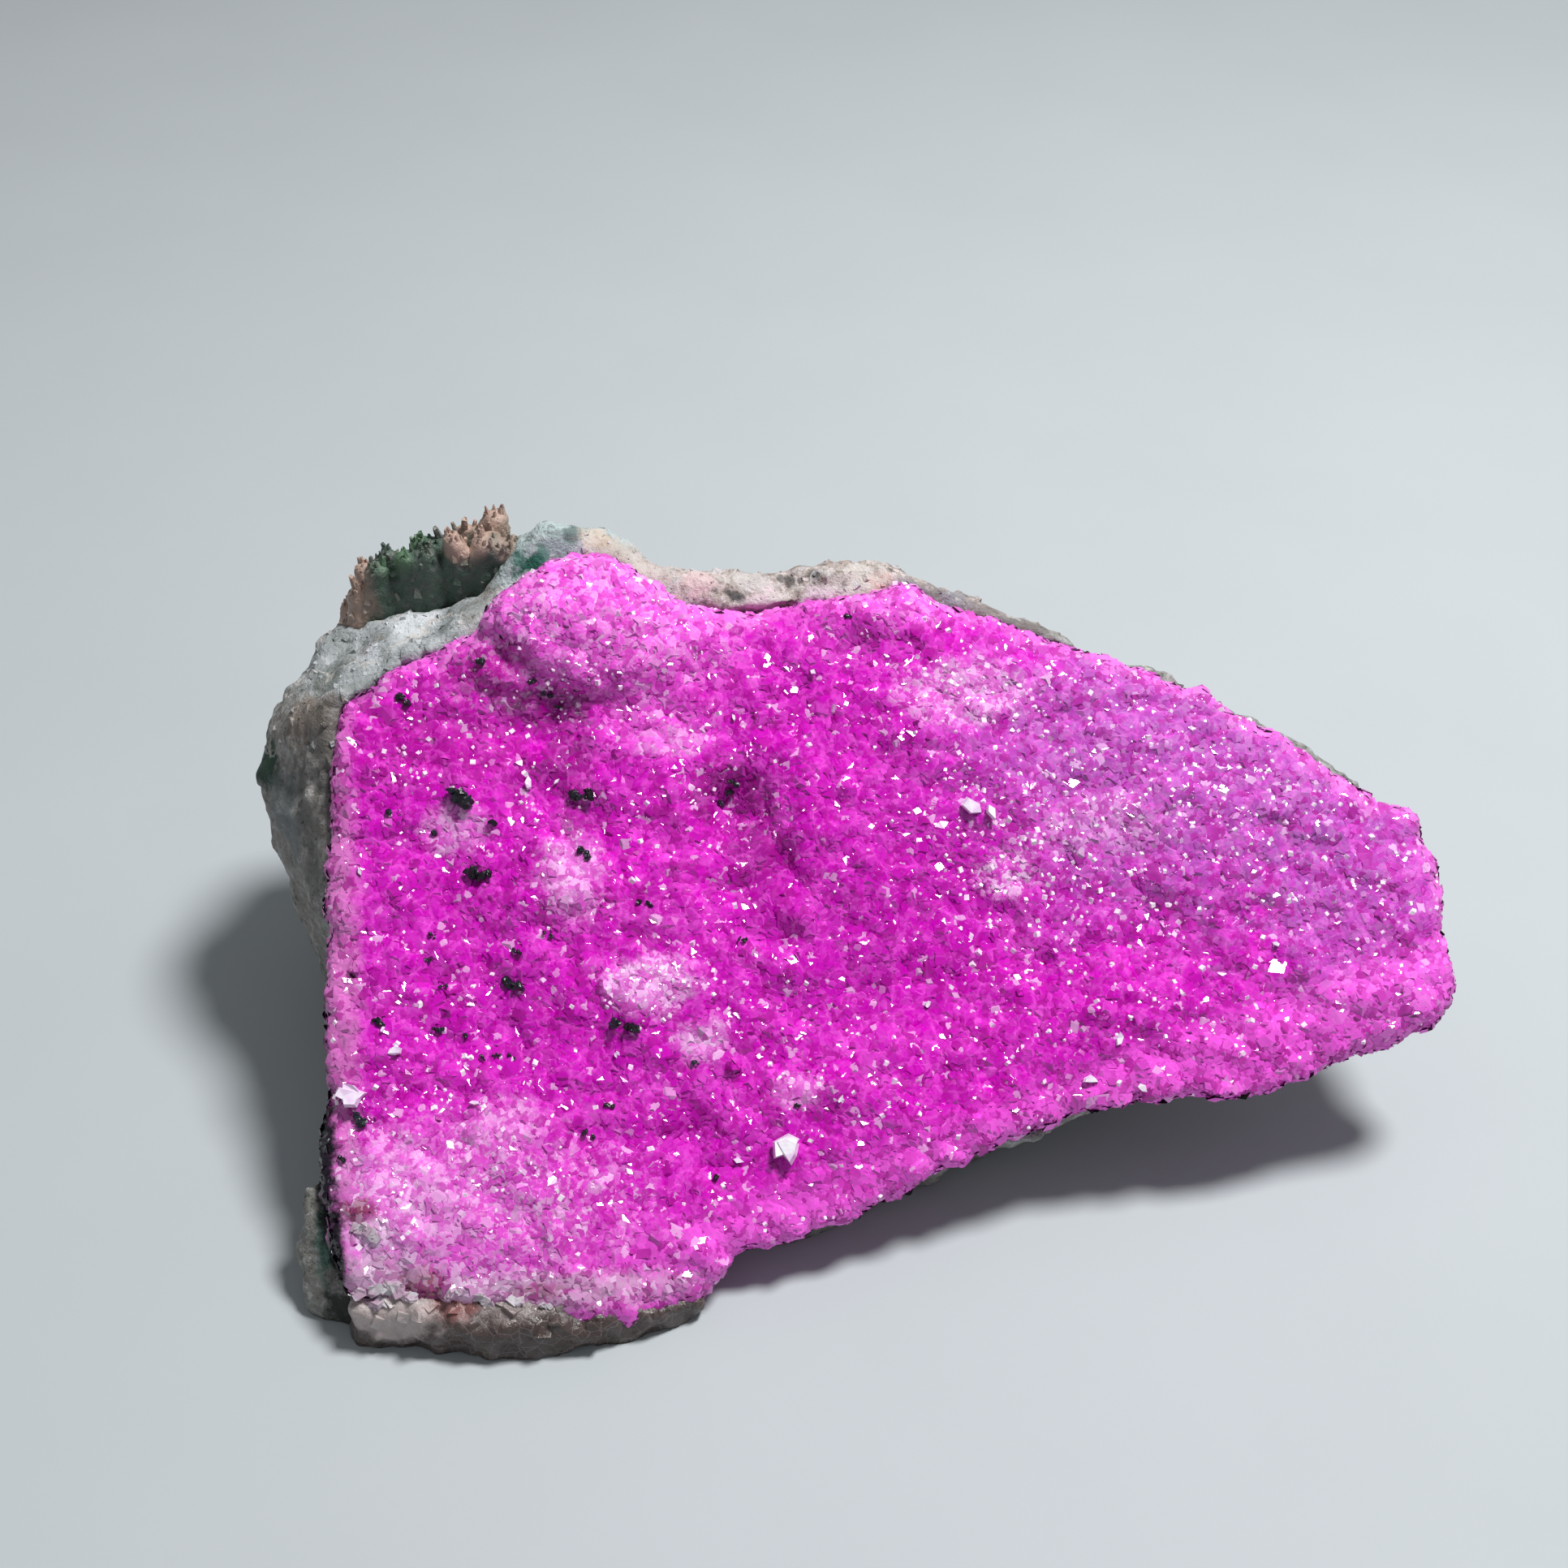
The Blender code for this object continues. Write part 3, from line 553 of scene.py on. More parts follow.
def ledge_step(place):
    """Rise above the ledge's line and drop below it, in millimetres."""
    near = np.full(len(place), np.inf)
    side = np.zeros(len(place))
    for start, end in zip(LEDGE, LEDGE[1:]):
        along = np.subtract(end, start)
        length = np.hypot(*along)
        along /= length
        rel = place[:, :2] - start
        run = np.clip(rel @ along, 0.0, length)
        off = rel - run[:, None] * along
        distance = np.hypot(off[:, 0], off[:, 1])
        closer = distance < near
        cross = along[0] * rel[:, 1] - along[1] * rel[:, 0]
        side[closer] = np.sign(cross[closer])
        near[closer] = distance[closer]
    signed = near * side
    step = LEDGE_RISE * np.exp(-np.maximum(signed, 0.0) / LEDGE_RISE_WIDTH) * (signed > 0)
    step -= LEDGE_DROP * np.exp(-np.maximum(-signed, 0.0) / LEDGE_DROP_WIDTH) * (signed <= 0)
    return step * (ramp(place[:, 0], 16.0, 13.0) * ramp(place[:, 0], 7.5, 9.0))


def shape_relief(obj):
    """Cut the pits and the ledge into the bed, level it and draw its lower left edge down."""
    mesh = obj.data
    co = coordinates(mesh)
    place = on_plate(co)
    upper = np.clip(normals(mesh) @ np.array(PLATE_NORMAL) * 2.0, 0.0, 1.0)
    rise = np.zeros(len(co))
    for u, v, radius, depth in PITS:
        away = np.hypot(place[:, 0] - u, place[:, 1] - v) / radius
        rise -= depth * np.exp(-away ** 2)
    rise = blurred(mesh, (rise + ledge_step(place)) * upper, 3)
    level = blurred(mesh, place[:, 2], LEVEL_STEPS)
    rise += strongest(place, LEVELLED) * upper * (level - place[:, 2])
    co += rise[:, None] * MM * np.array(PLATE_NORMAL)
    reach = EDGE_REACH * ramp(place[:, 0], 16.5, 13.5) * ramp(place[:, 1], 2.2, 0.0)
    co -= reach[:, None] * MM * np.array(PLATE_AXES.col[1])
    move_points(mesh, co)


def spread(obj, sideways, upward):
    """Grow a skin by one distance along the plate and another across it."""
    local = normals(obj.data) @ np.array(PLATE_AXES)
    local *= (sideways, sideways, upward)
    move_points(obj.data, coordinates(obj.data) + local @ np.array(PLATE_AXES).T)


def surface_at(trees, x, y):
    """Nearest surface point and normal seen through a pixel, or just inside of it."""
    inward = 1 if x < PICTURE / 2 else -1
    for shift in INWARD_SHIFTS:
        hits = [tree.ray_cast(CAMERA_PLACE, pixel_ray(x + shift * inward, y)) for tree in trees]
        hits = [hit for hit in hits if hit[0] is not None]
        if hits:
            place, normal, _, _ = min(hits, key=lambda hit: hit[3])
            return place, normal
    raise RuntimeError(f"nothing is seen at pixel {x}, {y}")


def tree_of(obj):
    return BVHTree.FromPolygons(
        [v.co for v in obj.data.vertices], [p.vertices for p in obj.data.polygons])


def finish_piece(obj, material, slot, *nodes):
    """Give a piece its material and tie it to the frame."""
    obj.data.materials.clear()
    obj.data.materials.append(material)
    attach(obj, "root")
    if nodes:
        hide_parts(*nodes)


def flat_faces(obj):
    activate(obj)
    bpy.ops.object.shade_flat()


def smooth_faces(obj):
    activate(obj)
    bpy.ops.object.shade_smooth()


def put(tree, socket, value):
    """Link an output to a socket, or set the socket's own value."""
    if isinstance(value, bpy.types.NodeSocket):
        tree.links.new(value, socket)
    elif socket.type == 'RGBA' and len(value) == 3:
        socket.default_value = (*value, 1.0)
    else:
        socket.default_value = value


def add_node(tree, kind, inputs=None, **settings):
    """A new node with its settings, then its inputs by name or number."""
    node = tree.nodes.new(kind)
    for key, value in settings.items():
        setattr(node, key, value)
    for key, value in (inputs or {}).items():
        put(tree, node.inputs[key], value)
    return node


class Graph:
    """Short words for building a material's nodes."""

    def __init__(self, name):
        self.material = bpy.data.materials.new(name)
        self.material.use_nodes = True
        self.tree = self.material.node_tree

    def add(self, kind, inputs=None, **settings):
        return add_node(self.tree, kind, inputs, **settings)

    def shade(self, inputs):
        """Fill the shader's sockets and hand back the material."""
        shader = self.tree.nodes["Principled BSDF"]
        for key, value in inputs.items():
            put(self.tree, shader.inputs[key], value)
        return self.material

    def place(self):
        """Object coordinates in millimetres."""
        metres = self.add('ShaderNodeTexCoord').outputs['Object']
        return self.add('ShaderNodeVectorMath', {0: metres, 'Scale': 1 / MM}, operation='SCALE').outputs[0]

    def plate_place(self):
        """Object coordinates turned onto the druse plate, in millimetres."""
        return self.add('ShaderNodeMapping', {
            'Vector': self.add('ShaderNodeTexCoord').outputs['Object'],
            'Location': PLATE_CORNER, 'Rotation': PLATE_TURNS, 'Scale': (MM, MM, MM),
        }, vector_type='TEXTURE').outputs[0]

    def attribute(self, name, output='Fac'):
        return self.add('ShaderNodeAttribute', attribute_name=name).outputs[output]

    def axis(self, place, index):
        return self.add('ShaderNodeSeparateXYZ', {0: place}).outputs[index]

    def noise(self, place, scale, detail=3.0, rough=0.55, kind='Fac', twist=0.0):
        return self.add('ShaderNodeTexNoise', {
            'Vector': place, 'Scale': scale, 'Detail': detail, 'Roughness': rough, 'Distortion': twist,
        }).outputs[kind]

    def ragged(self, place, scale, detail, rough, strength):
        """A value around 0 that frays the borders of blobs."""
        even = self.math('SUBTRACT', self.noise(place, scale, detail, rough), 0.5)
        return self.math('MULTIPLY', even, strength)

    def cell_edges(self, place, scale):
        """Distance to the nearest border between irregular cells."""
        return self.add('ShaderNodeTexVoronoi', {'Vector': place, 'Scale': scale},
                        feature='DISTANCE_TO_EDGE').outputs['Distance']

    def facets(self, place, scale, tilt):
        """Height of small flat faces, each leaning its own way, and a random value of each."""
        cells = self.add('ShaderNodeTexVoronoi', {'Vector': place, 'Scale': scale}).outputs
        away = self.vector('SUBTRACT', place, cells['Position'])
        lean = self.vector('MULTIPLY_ADD', cells['Color'], (tilt,) * 3, (-tilt / 2,) * 3)
        return self.vector('DOT_PRODUCT', away, lean), self.axis(cells['Color'], 1)

    def math(self, operation, a, b=0.0, clamp=False):
        return self.add('ShaderNodeMath', {0: a, 1: b}, operation=operation, use_clamp=clamp).outputs[0]

    def vector(self, operation, *values):
        """What a vector operation gives: a number for a length or a dot product, else a vector."""
        node = self.add('ShaderNodeVectorMath', dict(enumerate(values)), operation=operation)
        return node.outputs['Value' if operation in {'LENGTH', 'DOT_PRODUCT'} else 'Vector']

    def step(self, value, low, high, out_low=0.0, out_high=1.0):
        """A smooth passage from out_low at low to out_high at high."""
        return self.add('ShaderNodeMapRange', {
            'Value': value, 'From Min': low, 'From Max': high, 'To Min': out_low, 'To Max': out_high,
        }, interpolation_type='SMOOTHSTEP').outputs[0]

    def mix(self, share, a, b):
        return self.add('ShaderNodeMix', {0: share, 6: a, 7: b}, data_type='RGBA').outputs[2]

    def wash(self, colour, tint, value, low, high, strength):
        """Lay a tint over a colour, more and more as a value passes from low to high."""
        return self.mix(self.step(value, low, high, 0.0, strength), colour, tint)

    def blob(self, place, centre, reach, soft, ragged=None):
        """1 inside an ellipsoid, 0 outside, with a soft and ragged border."""
        away = self.vector('SUBTRACT', place, centre)
        distance = self.vector('LENGTH', self.vector('DIVIDE', away, reach))
        if ragged is not None:
            distance = self.math('ADD', distance, ragged)
        return self.step(distance, 1.0 + soft, 1.0 - soft)

    def patch(self, colour, place, centre, reach, tint, strength, soft, ragged):
        """Lay a tint over a colour inside a ragged blob."""
        share = self.math('MULTIPLY', self.blob(place, centre, reach, soft, ragged), strength)
        return self.mix(share, colour, tint)

    def zones(self, settings, place, colour, zones, ragged):
        """Lay the named colours of zones on the plate over a colour."""
        for u, v, half_u, half_v, name, strength in zones.values():
            colour = self.patch(colour, place, (u, v, 0.0), (half_u, half_v, ZONE_DEPTH),
                                getattr(settings, name), strength, ZONE_SOFT, ragged)
        return colour

    def facing_bed(self):
        """How squarely a crystal face looks along the bed's direction, 1 for fully."""
        face = self.add('ShaderNodeNewGeometry').outputs['Normal']
        return self.vector('DOT_PRODUCT', self.attribute("bed_normal", 'Vector'), face)

    def softened_normal(self, facet_share):
        """Between a crystal face's own direction and the direction of the bed it grows on."""
        bed = self.add('ShaderNodeVectorTransform', {0: self.attribute("bed_normal", 'Vector')},
                       vector_type='NORMAL', convert_from='OBJECT', convert_to='WORLD').outputs[0]
        face = self.add('ShaderNodeNewGeometry').outputs['Normal']
        blend = self.add('ShaderNodeMix', {0: facet_share, 4: bed, 5: face}, data_type='VECTOR')
        return self.vector('NORMALIZE', blend.outputs[1])

    def bump(self, height, distance, strength=1.0, before=None):
        """A normal roughened by a height, its distance in millimetres."""
        inputs = {'Strength': strength, 'Distance': distance * MM, 'Height': height}
        if before is not None:
            inputs['Normal'] = before
        return self.add('ShaderNodeBump', inputs).outputs[0]


def druse_colour(graph, settings, place):
    """Magenta with its zones, and how frosted each place is, before the single crystals' tones."""
    patchy = graph.noise(place, 0.28, 5.0, 0.65)
    base = graph.mix(graph.step(patchy, 0.4, 0.6), settings.deep, settings.mid)
    mottle = graph.noise(place, 0.75, 4.0, 0.6, twist=0.6)
    base = graph.wash(base, settings.lump, mottle, 0.52, 0.7, 0.3)
    dim = graph.step(graph.noise(place, 0.55, 6.0, 0.7, twist=0.4), 0.52, 0.66, 0.0, 0.6)
    dim = graph.math('MULTIPLY', dim, graph.step(graph.axis(place, 0), 30.0, 16.0, 0.25, 1.0))
    base = graph.mix(dim, base, settings.wine)
    veil = graph.noise(place, 0.33, 6.0, 0.7, twist=1.2)
    base = graph.wash(base, settings.lump, veil, 0.52, 0.66, 0.34)
    base = graph.wash(base, settings.deep, mottle, 0.45, 0.32, 0.8)
    ragged = graph.ragged(place, 0.9, 6.0, 0.75, 2.2)
    frost = 0.0
    for u, v, half_u, half_v, colour, strength in DRUSE_ZONES.values():
        share = graph.blob(place, (u, v, 0.0), (half_u, half_v, ZONE_DEPTH), ZONE_SOFT, ragged)
        share = graph.math('MULTIPLY', share, strength)
        base = graph.mix(share, base, getattr(settings, colour))
        if colour in FROSTED:
            frost = graph.math('MAXIMUM', frost, graph.math('MULTIPLY', share, FROSTED[colour]))
    bend = graph.noise(place, 0.8, 3.0, 0.6, 'Color')
    bent = graph.vector('MULTIPLY_ADD', bend, (1.6, 1.6, 1.6), place)
    base = graph.wash(base, settings.lump, graph.cell_edges(bent, 0.62), 0.11, 0.0, 0.34)
    streak = graph.step(graph.noise(place, 1.5, 5.0, 0.65, twist=1.8), 0.5, 0.62)
    base = graph.mix(graph.math('MULTIPLY', frost, streak), base, settings.frost)
    return base, frost


def druse_material(settings, name, crystal):
    """Magenta calcite with a glassy coat. crystal adds each crystal's own tone."""
    graph = Graph(name)
    place = graph.plate_place()
    colour, frost = druse_colour(graph, settings, place)
    # Painted shade: the bed's hollows are washed toward deep magenta.
    colour = graph.wash(colour, settings.deep, graph.attribute("relief"), -0.05, -0.6, 0.55)
    rim = graph.math('ADD', graph.attribute("rim"), graph.noise(place, 0.8, 4.0, 0.6))
    colour = graph.wash(colour, settings.edge, rim, 2.1, 0.7, 0.7)
    ragged = graph.ragged(place, 1.3, 6.0, 0.75, 2.0)
    line = graph.math('MULTIPLY', graph.axis(place, 0), -LOWER_SLOPE)
    above = graph.math('SUBTRACT', graph.math('ADD', graph.axis(place, 1), line), LOWER_START)
    above = graph.math('ADD', above, ragged)
    colour = graph.wash(colour, settings.lump, above, 3.2, 0.8, 0.7)
    colour = graph.zones(settings, place, colour, BORDER_ZONES, ragged)
    if crystal:
        tone = graph.attribute("tone")
        # Painted light: crystal faces that lean away from the bed are washed paler pink, standing in for
        # light through the crystals.
        colour = graph.wash(colour, settings.lump, graph.facing_bed(), 0.82, 0.5, 0.6)
        grain = graph.noise(place, 3.2, 3.0, 0.6)
        relief = {'Normal': graph.bump(grain, 0.06, 0.35, graph.softened_normal(0.24))}
    else:
        height, tone = graph.facets(place, 1.9, 1.4)
        relief = {'Coat Normal': graph.bump(height, 1.0), 'Normal': graph.bump(height, 0.5)}
    colour = graph.wash(colour, settings.pale, tone, 0.6, 0.95, 0.07)
    plain = graph.math('SUBTRACT', 1.0, frost, clamp=True)
    darker = graph.math('MULTIPLY', graph.step(tone, 0.45, 0.0, 0.0, 0.75), plain)
    colour = graph.mix(darker, colour, settings.wine)
    white = graph.math('MULTIPLY', graph.step(tone, 0.5, 0.85), frost)
    colour = graph.mix(white, colour, settings.frost)
    # Painted glints: the few single crystals with the highest tone are washed near-white.
    colour = graph.wash(colour, settings.frost, tone, 0.96, 0.98, 0.5)
    colour = graph.zones(settings, place, colour, FILM_ZONES, ragged)
    return graph.shade({
        'Base Color': colour, 'Coat Weight': 0.6, 'Coat Roughness': 0.09, 'Coat IOR': 1.6,
        'Roughness': 0.45, 'IOR': 1.45, 'Specular IOR Level': 0.05, **relief,
    })


def glint_share(place):
    """How thickly the painted glints, tiny white crystals, lie at each point of the druse, 0 to 1."""
    clumps = np.array([noise.noise(Vector((u, v, 0.0)) * GLINT_CLUMPS) for u, v, _ in place])
    return np.maximum(strongest(place, GLINT_ZONES), GLINT_LEAST) * np.clip(0.45 + 1.6 * clumps, 0.08, 1.0)


def glint_material():
    """Almost white, glassy: the colour of the painted glints."""
    graph = Graph("glints")
    shade = graph.step(graph.noise(graph.plate_place(), 0.7, 2.0), 0.35, 0.65)
    return graph.shade({
        'Base Color': graph.mix(shade, srgb(255, 246, 254), srgb(250, 206, 246)),
        'Roughness': 0.12, 'IOR': 1.65,
    })


def crystal(rng, number, stretch, corner_up=True, uneven=0.07):
    """A small uneven rhomb, on a corner or lying flat, every second one with a nipped corner."""
    bpy.ops.mesh.primitive_cube_add(size=1.0)
    obj = bpy.context.object
    if corner_up:
        obj.rotation_euler = CORNER_UP
        bpy.ops.object.transform_apply(location=False, rotation=True, scale=False)
    obj.scale = (rng.uniform(0.8, 1.15), rng.uniform(0.8, 1.15), rng.uniform(*stretch))
    bpy.ops.object.transform_apply(location=False, rotation=False, scale=True)
    for vert in obj.data.vertices:
        vert.co += Vector([rng.uniform(-uneven, uneven) for _ in range(3)])
    corner = rng.randrange(8)
    if number % 2:
        bpy.ops.object.mode_set(mode='EDIT')
        bpy.ops.mesh.select_all(action='DESELECT')
        bpy.ops.object.mode_set(mode='OBJECT')
        obj.data.vertices[corner].select = True
        bpy.ops.object.mode_set(mode='EDIT')
        bpy.ops.mesh.select_mode(type='VERT')
        bpy.ops.mesh.bevel(offset=rng.uniform(0.12, 0.3), affect='VERTICES')
        bpy.ops.object.mode_set(mode='OBJECT')
    return obj


def flake(rng, number):
    """A small flat flake with a broken outline of four to six corners."""
    sides = 4 + number % 3
    bpy.ops.mesh.primitive_cylinder_add(vertices=sides, radius=0.6, depth=rng.uniform(0.22, 0.36))
    obj = bpy.context.object
    corners = [(rng.uniform(0.65, 1.1), rng.uniform(-0.1, 0.1)) for _ in range(sides)]
    for vert in obj.data.vertices:
        turn = round(math.atan2(vert.co.x, vert.co.y) / math.tau * sides) % sides
        reach, rise = corners[turn]
        slope = 0.86 if vert.co.z > 0.0 else 1.0
        vert.co.x *= reach * slope
        vert.co.y *= reach * slope * 0.8
        vert.co.z += rise
    return obj


def needle(rng, _number):
    """A small six-sided prism with a narrowed, slanting tip."""
    bpy.ops.mesh.primitive_cone_add(
        vertices=6, radius1=rng.uniform(0.26, 0.34), radius2=rng.uniform(0.06, 0.2),
        depth=rng.uniform(1.0, 1.5))
    obj = bpy.context.object
    for vert in obj.data.vertices:
        if vert.co.z > 0.0:
            vert.co.z += rng.uniform(-0.12, 0.12)
    return obj


def lump(rng, _number):
    """A flattened, faceted lump about a unit across."""
    bpy.ops.mesh.primitive_ico_sphere_add(subdivisions=2, radius=0.5)
    obj = bpy.context.object
    for vert in obj.data.vertices:
        vert.co *= rng.uniform(0.55, 1.2)
        vert.co.z *= 0.7
    return obj


def variants(prefix, count, seed, material, make, **options):
    """A collection of differing small shapes from one maker."""
    rng = random.Random(seed)
    home = bpy.data.collections.new(prefix + "_variants")
    bpy.context.scene.collection.children.link(home)
    for number in range(count):
        deselect()
        obj = make(rng, number, **options)
        obj.name = f"{prefix}_{number}"
        obj.data.materials.append(material)
        for owner in list(obj.users_collection):
            owner.objects.unlink(obj)
        home.objects.link(obj)
    return home


def drop_collection(home):
    for obj in list(home.objects):
        bpy.data.objects.remove(obj, do_unlink=True)
    bpy.data.collections.remove(home)


def scatter(name, bed, home, spacing, sizes, tilt, sink, seed, cover, upright=False):
    """Grow copies of a collection's shapes over a bed, make them real and drop the collection."""
    tree = bpy.data.node_groups.new(name, 'GeometryNodeTree')
    tree.interface.new_socket("Geometry", in_out='INPUT', socket_type='NodeSocketGeometry')
    tree.interface.new_socket("Geometry", in_out='OUTPUT', socket_type='NodeSocketGeometry')

    def add(kind, inputs=None, **settings):
        return add_node(tree, kind, inputs, **settings)

    def random_value(kind, low, high, offset):
        first, output = {'FLOAT_VECTOR': (0, 0), 'FLOAT': (2, 1), 'INT': (4, 2)}[kind]
        inputs = {first: low, first + 1: high, 'Seed': seed + offset}
        return add('FunctionNodeRandomValue', inputs, data_type=kind).outputs[output]

    def read(word):
        node = add('GeometryNodeInputNamedAttribute', {'Name': word}, data_type='FLOAT')
        return node.outputs['Attribute']

    def store(geometry, word, value, kind='FLOAT', domain='POINT'):
        return add('GeometryNodeStoreNamedAttribute', {'Geometry': geometry, 'Name': word, 'Value': value},
                   data_type=kind, domain=domain).outputs[0]

    points = add('GeometryNodeDistributePointsOnFaces', {
        'Mesh': add('NodeGroupInput').outputs[0], 'Distance Min': spacing,
        'Density Max': CROWDING / spacing ** 2, 'Density Factor': read(cover), 'Seed': seed,
    }, distribute_method='POISSON').outputs
    share = add('ShaderNodeMath', {0: random_value('FLOAT', 0.0, 1.0, 1), 1: SMALLER_MORE},
                operation='POWER').outputs[0]
    size = add('ShaderNodeMapRange', {
        'Value': share, 'To Min': sizes[0] * MM, 'To Max': sizes[1] * MM,
    }).outputs[0]
    grown = store(points['Points'], "bed_normal", points['Normal'], 'FLOAT_VECTOR')
    grown = store(grown, "size", size)
    depth = add('ShaderNodeMath', {0: read("size"), 1: -sink}, operation='MULTIPLY').outputs[0]
    push = add('ShaderNodeVectorMath', {0: points['Normal'], 'Scale': depth}, operation='SCALE').outputs[0]
    sunk = add('GeometryNodeSetPosition', {'Geometry': grown, 'Offset': push}).outputs[0]

    shapes = add('GeometryNodeCollectionInfo', {
        'Collection': home, 'Separate Children': True, 'Reset Children': True,
    }).outputs[0]
    lean = random_value('FLOAT_VECTOR', (-tilt, -tilt, 0.0), (tilt, tilt, math.tau), 2)
    turned = add('FunctionNodeRotateRotation', {
        1: add('FunctionNodeEulerToRotation', {0: lean}).outputs[0],
    }, rotation_space='LOCAL')
    if not upright:
        put(tree, turned.inputs[0], points['Rotation'])
    last = add('GeometryNodeInstanceOnPoints', {
        'Points': sunk, 'Instance': shapes, 'Pick Instance': True,
        'Instance Index': random_value('INT', 0, len(home.objects) - 1, 3),
        'Rotation': turned.outputs[0], 'Scale': read("size"),
    }).outputs[0]
    last = store(last, "tone", random_value('FLOAT', 0.0, 1.0, 5), domain='INSTANCE')
    last = store(last, "gloss", random_value('FLOAT', 0.0, 1.0, 6), domain='INSTANCE')
    real = add('GeometryNodeRealizeInstances', {0: last}).outputs[0]
    add('NodeGroupOutput', {0: real})

    obj = bpy.data.objects.new(name, bed.data.copy())
    bpy.context.scene.collection.objects.link(obj)
    modify(obj, 'NODES', node_group=tree)
    drop_collection(home)
    flat_faces(obj)
    return obj


class SPECIMEN_OT_druse(bpy.types.Operator):
    """Grow the magenta druse: a knobby bed, five layers of crystals and tiny white crystals as painted
    glints
    """
    bl_idname = "specimen.druse"
    bl_label = "Magenta Druse"

    def execute(self, context):
        settings = context.scene.specimen_druse
        bed = copy_of_node("pink_calcite_druse", "druse_bed")
        remesh(bed, settings.bed_voxel)
        smooth(bed, 22)
        shape_relief(bed)
        spread(bed, settings.side_growth, settings.top_growth)
        displace(bed, 'CLOUDS', 5.5, 0.6, noise_depth=1)
        displace(bed, 'CLOUDS', 2.2, 0.6, noise_depth=1)
        displace(bed, 'VORONOI', 0.9, 0.3, distance_metric='DISTANCE')
        keep_above_floor(bed)
        mesh = bed.data
        place = on_plate(coordinates(mesh))
        facing = normals(mesh) @ np.array(PLATE_NORMAL)
        set_attribute(mesh, "rim", rim_distance(place))
        set_attribute(mesh, "relief", place[:, 2] - blurred(mesh, place[:, 2], RELIEF_STEPS))
        set_attribute(mesh, "cover", np.clip((facing + 0.85) * 3.0, 0.0, 1.0))
        set_attribute(mesh, "glint_cover", (facing > 0.3) * glint_share(place))
        smooth_faces(bed)
        finish_piece(bed, druse_material(settings, "magenta bed", False), "pink_calcite",
                     "pink_calcite_druse")

        gloss = druse_material(settings, "magenta crystals", True)
        layers = (
            ("druse_crystals_fine", settings.fine_spacing, (0.34, 0.6), 0.3, 0.1, 11),
            ("druse_crystals_fill", settings.fine_spacing, (0.32, 0.56), 0.4, 0.1, 47),
            ("druse_crystals_sugar", settings.sugar_spacing, (0.2, 0.34), 0.5, -0.02, 53),
            ("druse_crystals_medium", settings.medium_spacing, (0.45, 0.7), 0.36, 0.12, 23),
            ("druse_crystals_coarse", settings.coarse_spacing, (0.6, 0.95), 0.36, 0.16, 31),
        )
        for name, spacing, sizes, tilt, sink, seed in layers:
            home = variants(name, 8, seed, gloss, crystal, stretch=(0.25, 0.52))
            layer = scatter(name, bed, home, spacing, sizes, tilt, sink, seed, "cover")
            layer.visible_shadow = False
            finish_piece(layer, gloss, "pink_calcite")

        # Tiny white crystals on the druse: painted glints.
        bright = glint_material()
        home = variants("glint", 6, 67, bright, crystal, stretch=(0.5, 1.1))
        glints = scatter("druse_glints", bed, home, settings.glint_spacing, (0.1, 0.26), 0.9, -0.35, 67,
                         "glint_cover")
        glints.visible_shadow = False
        finish_piece(glints, bright, "pink_calcite")
        return {'FINISHED'}


def lower_rim(obj):
    """Press the rock's rim down and draw it in behind the upper right edge of the druse."""
    co = coordinates(obj.data)
    u, v, w = on_plate(co).T
    near = ramp(v, 17.0, 20.0) * ramp(w, -5.0, -3.0)
    moves = ((RIM_PRESS, PLATE_NORMAL), (RIM_INWARD, PLATE_AXES.col[1]))
    for stretches, direction in moves:
        distance = sum(far * np.exp(-((u - middle) / width) ** 2) for middle, width, far in stretches)
        co -= (distance * near)[:, None] * MM * np.array(direction)
    move_points(obj.data, co)


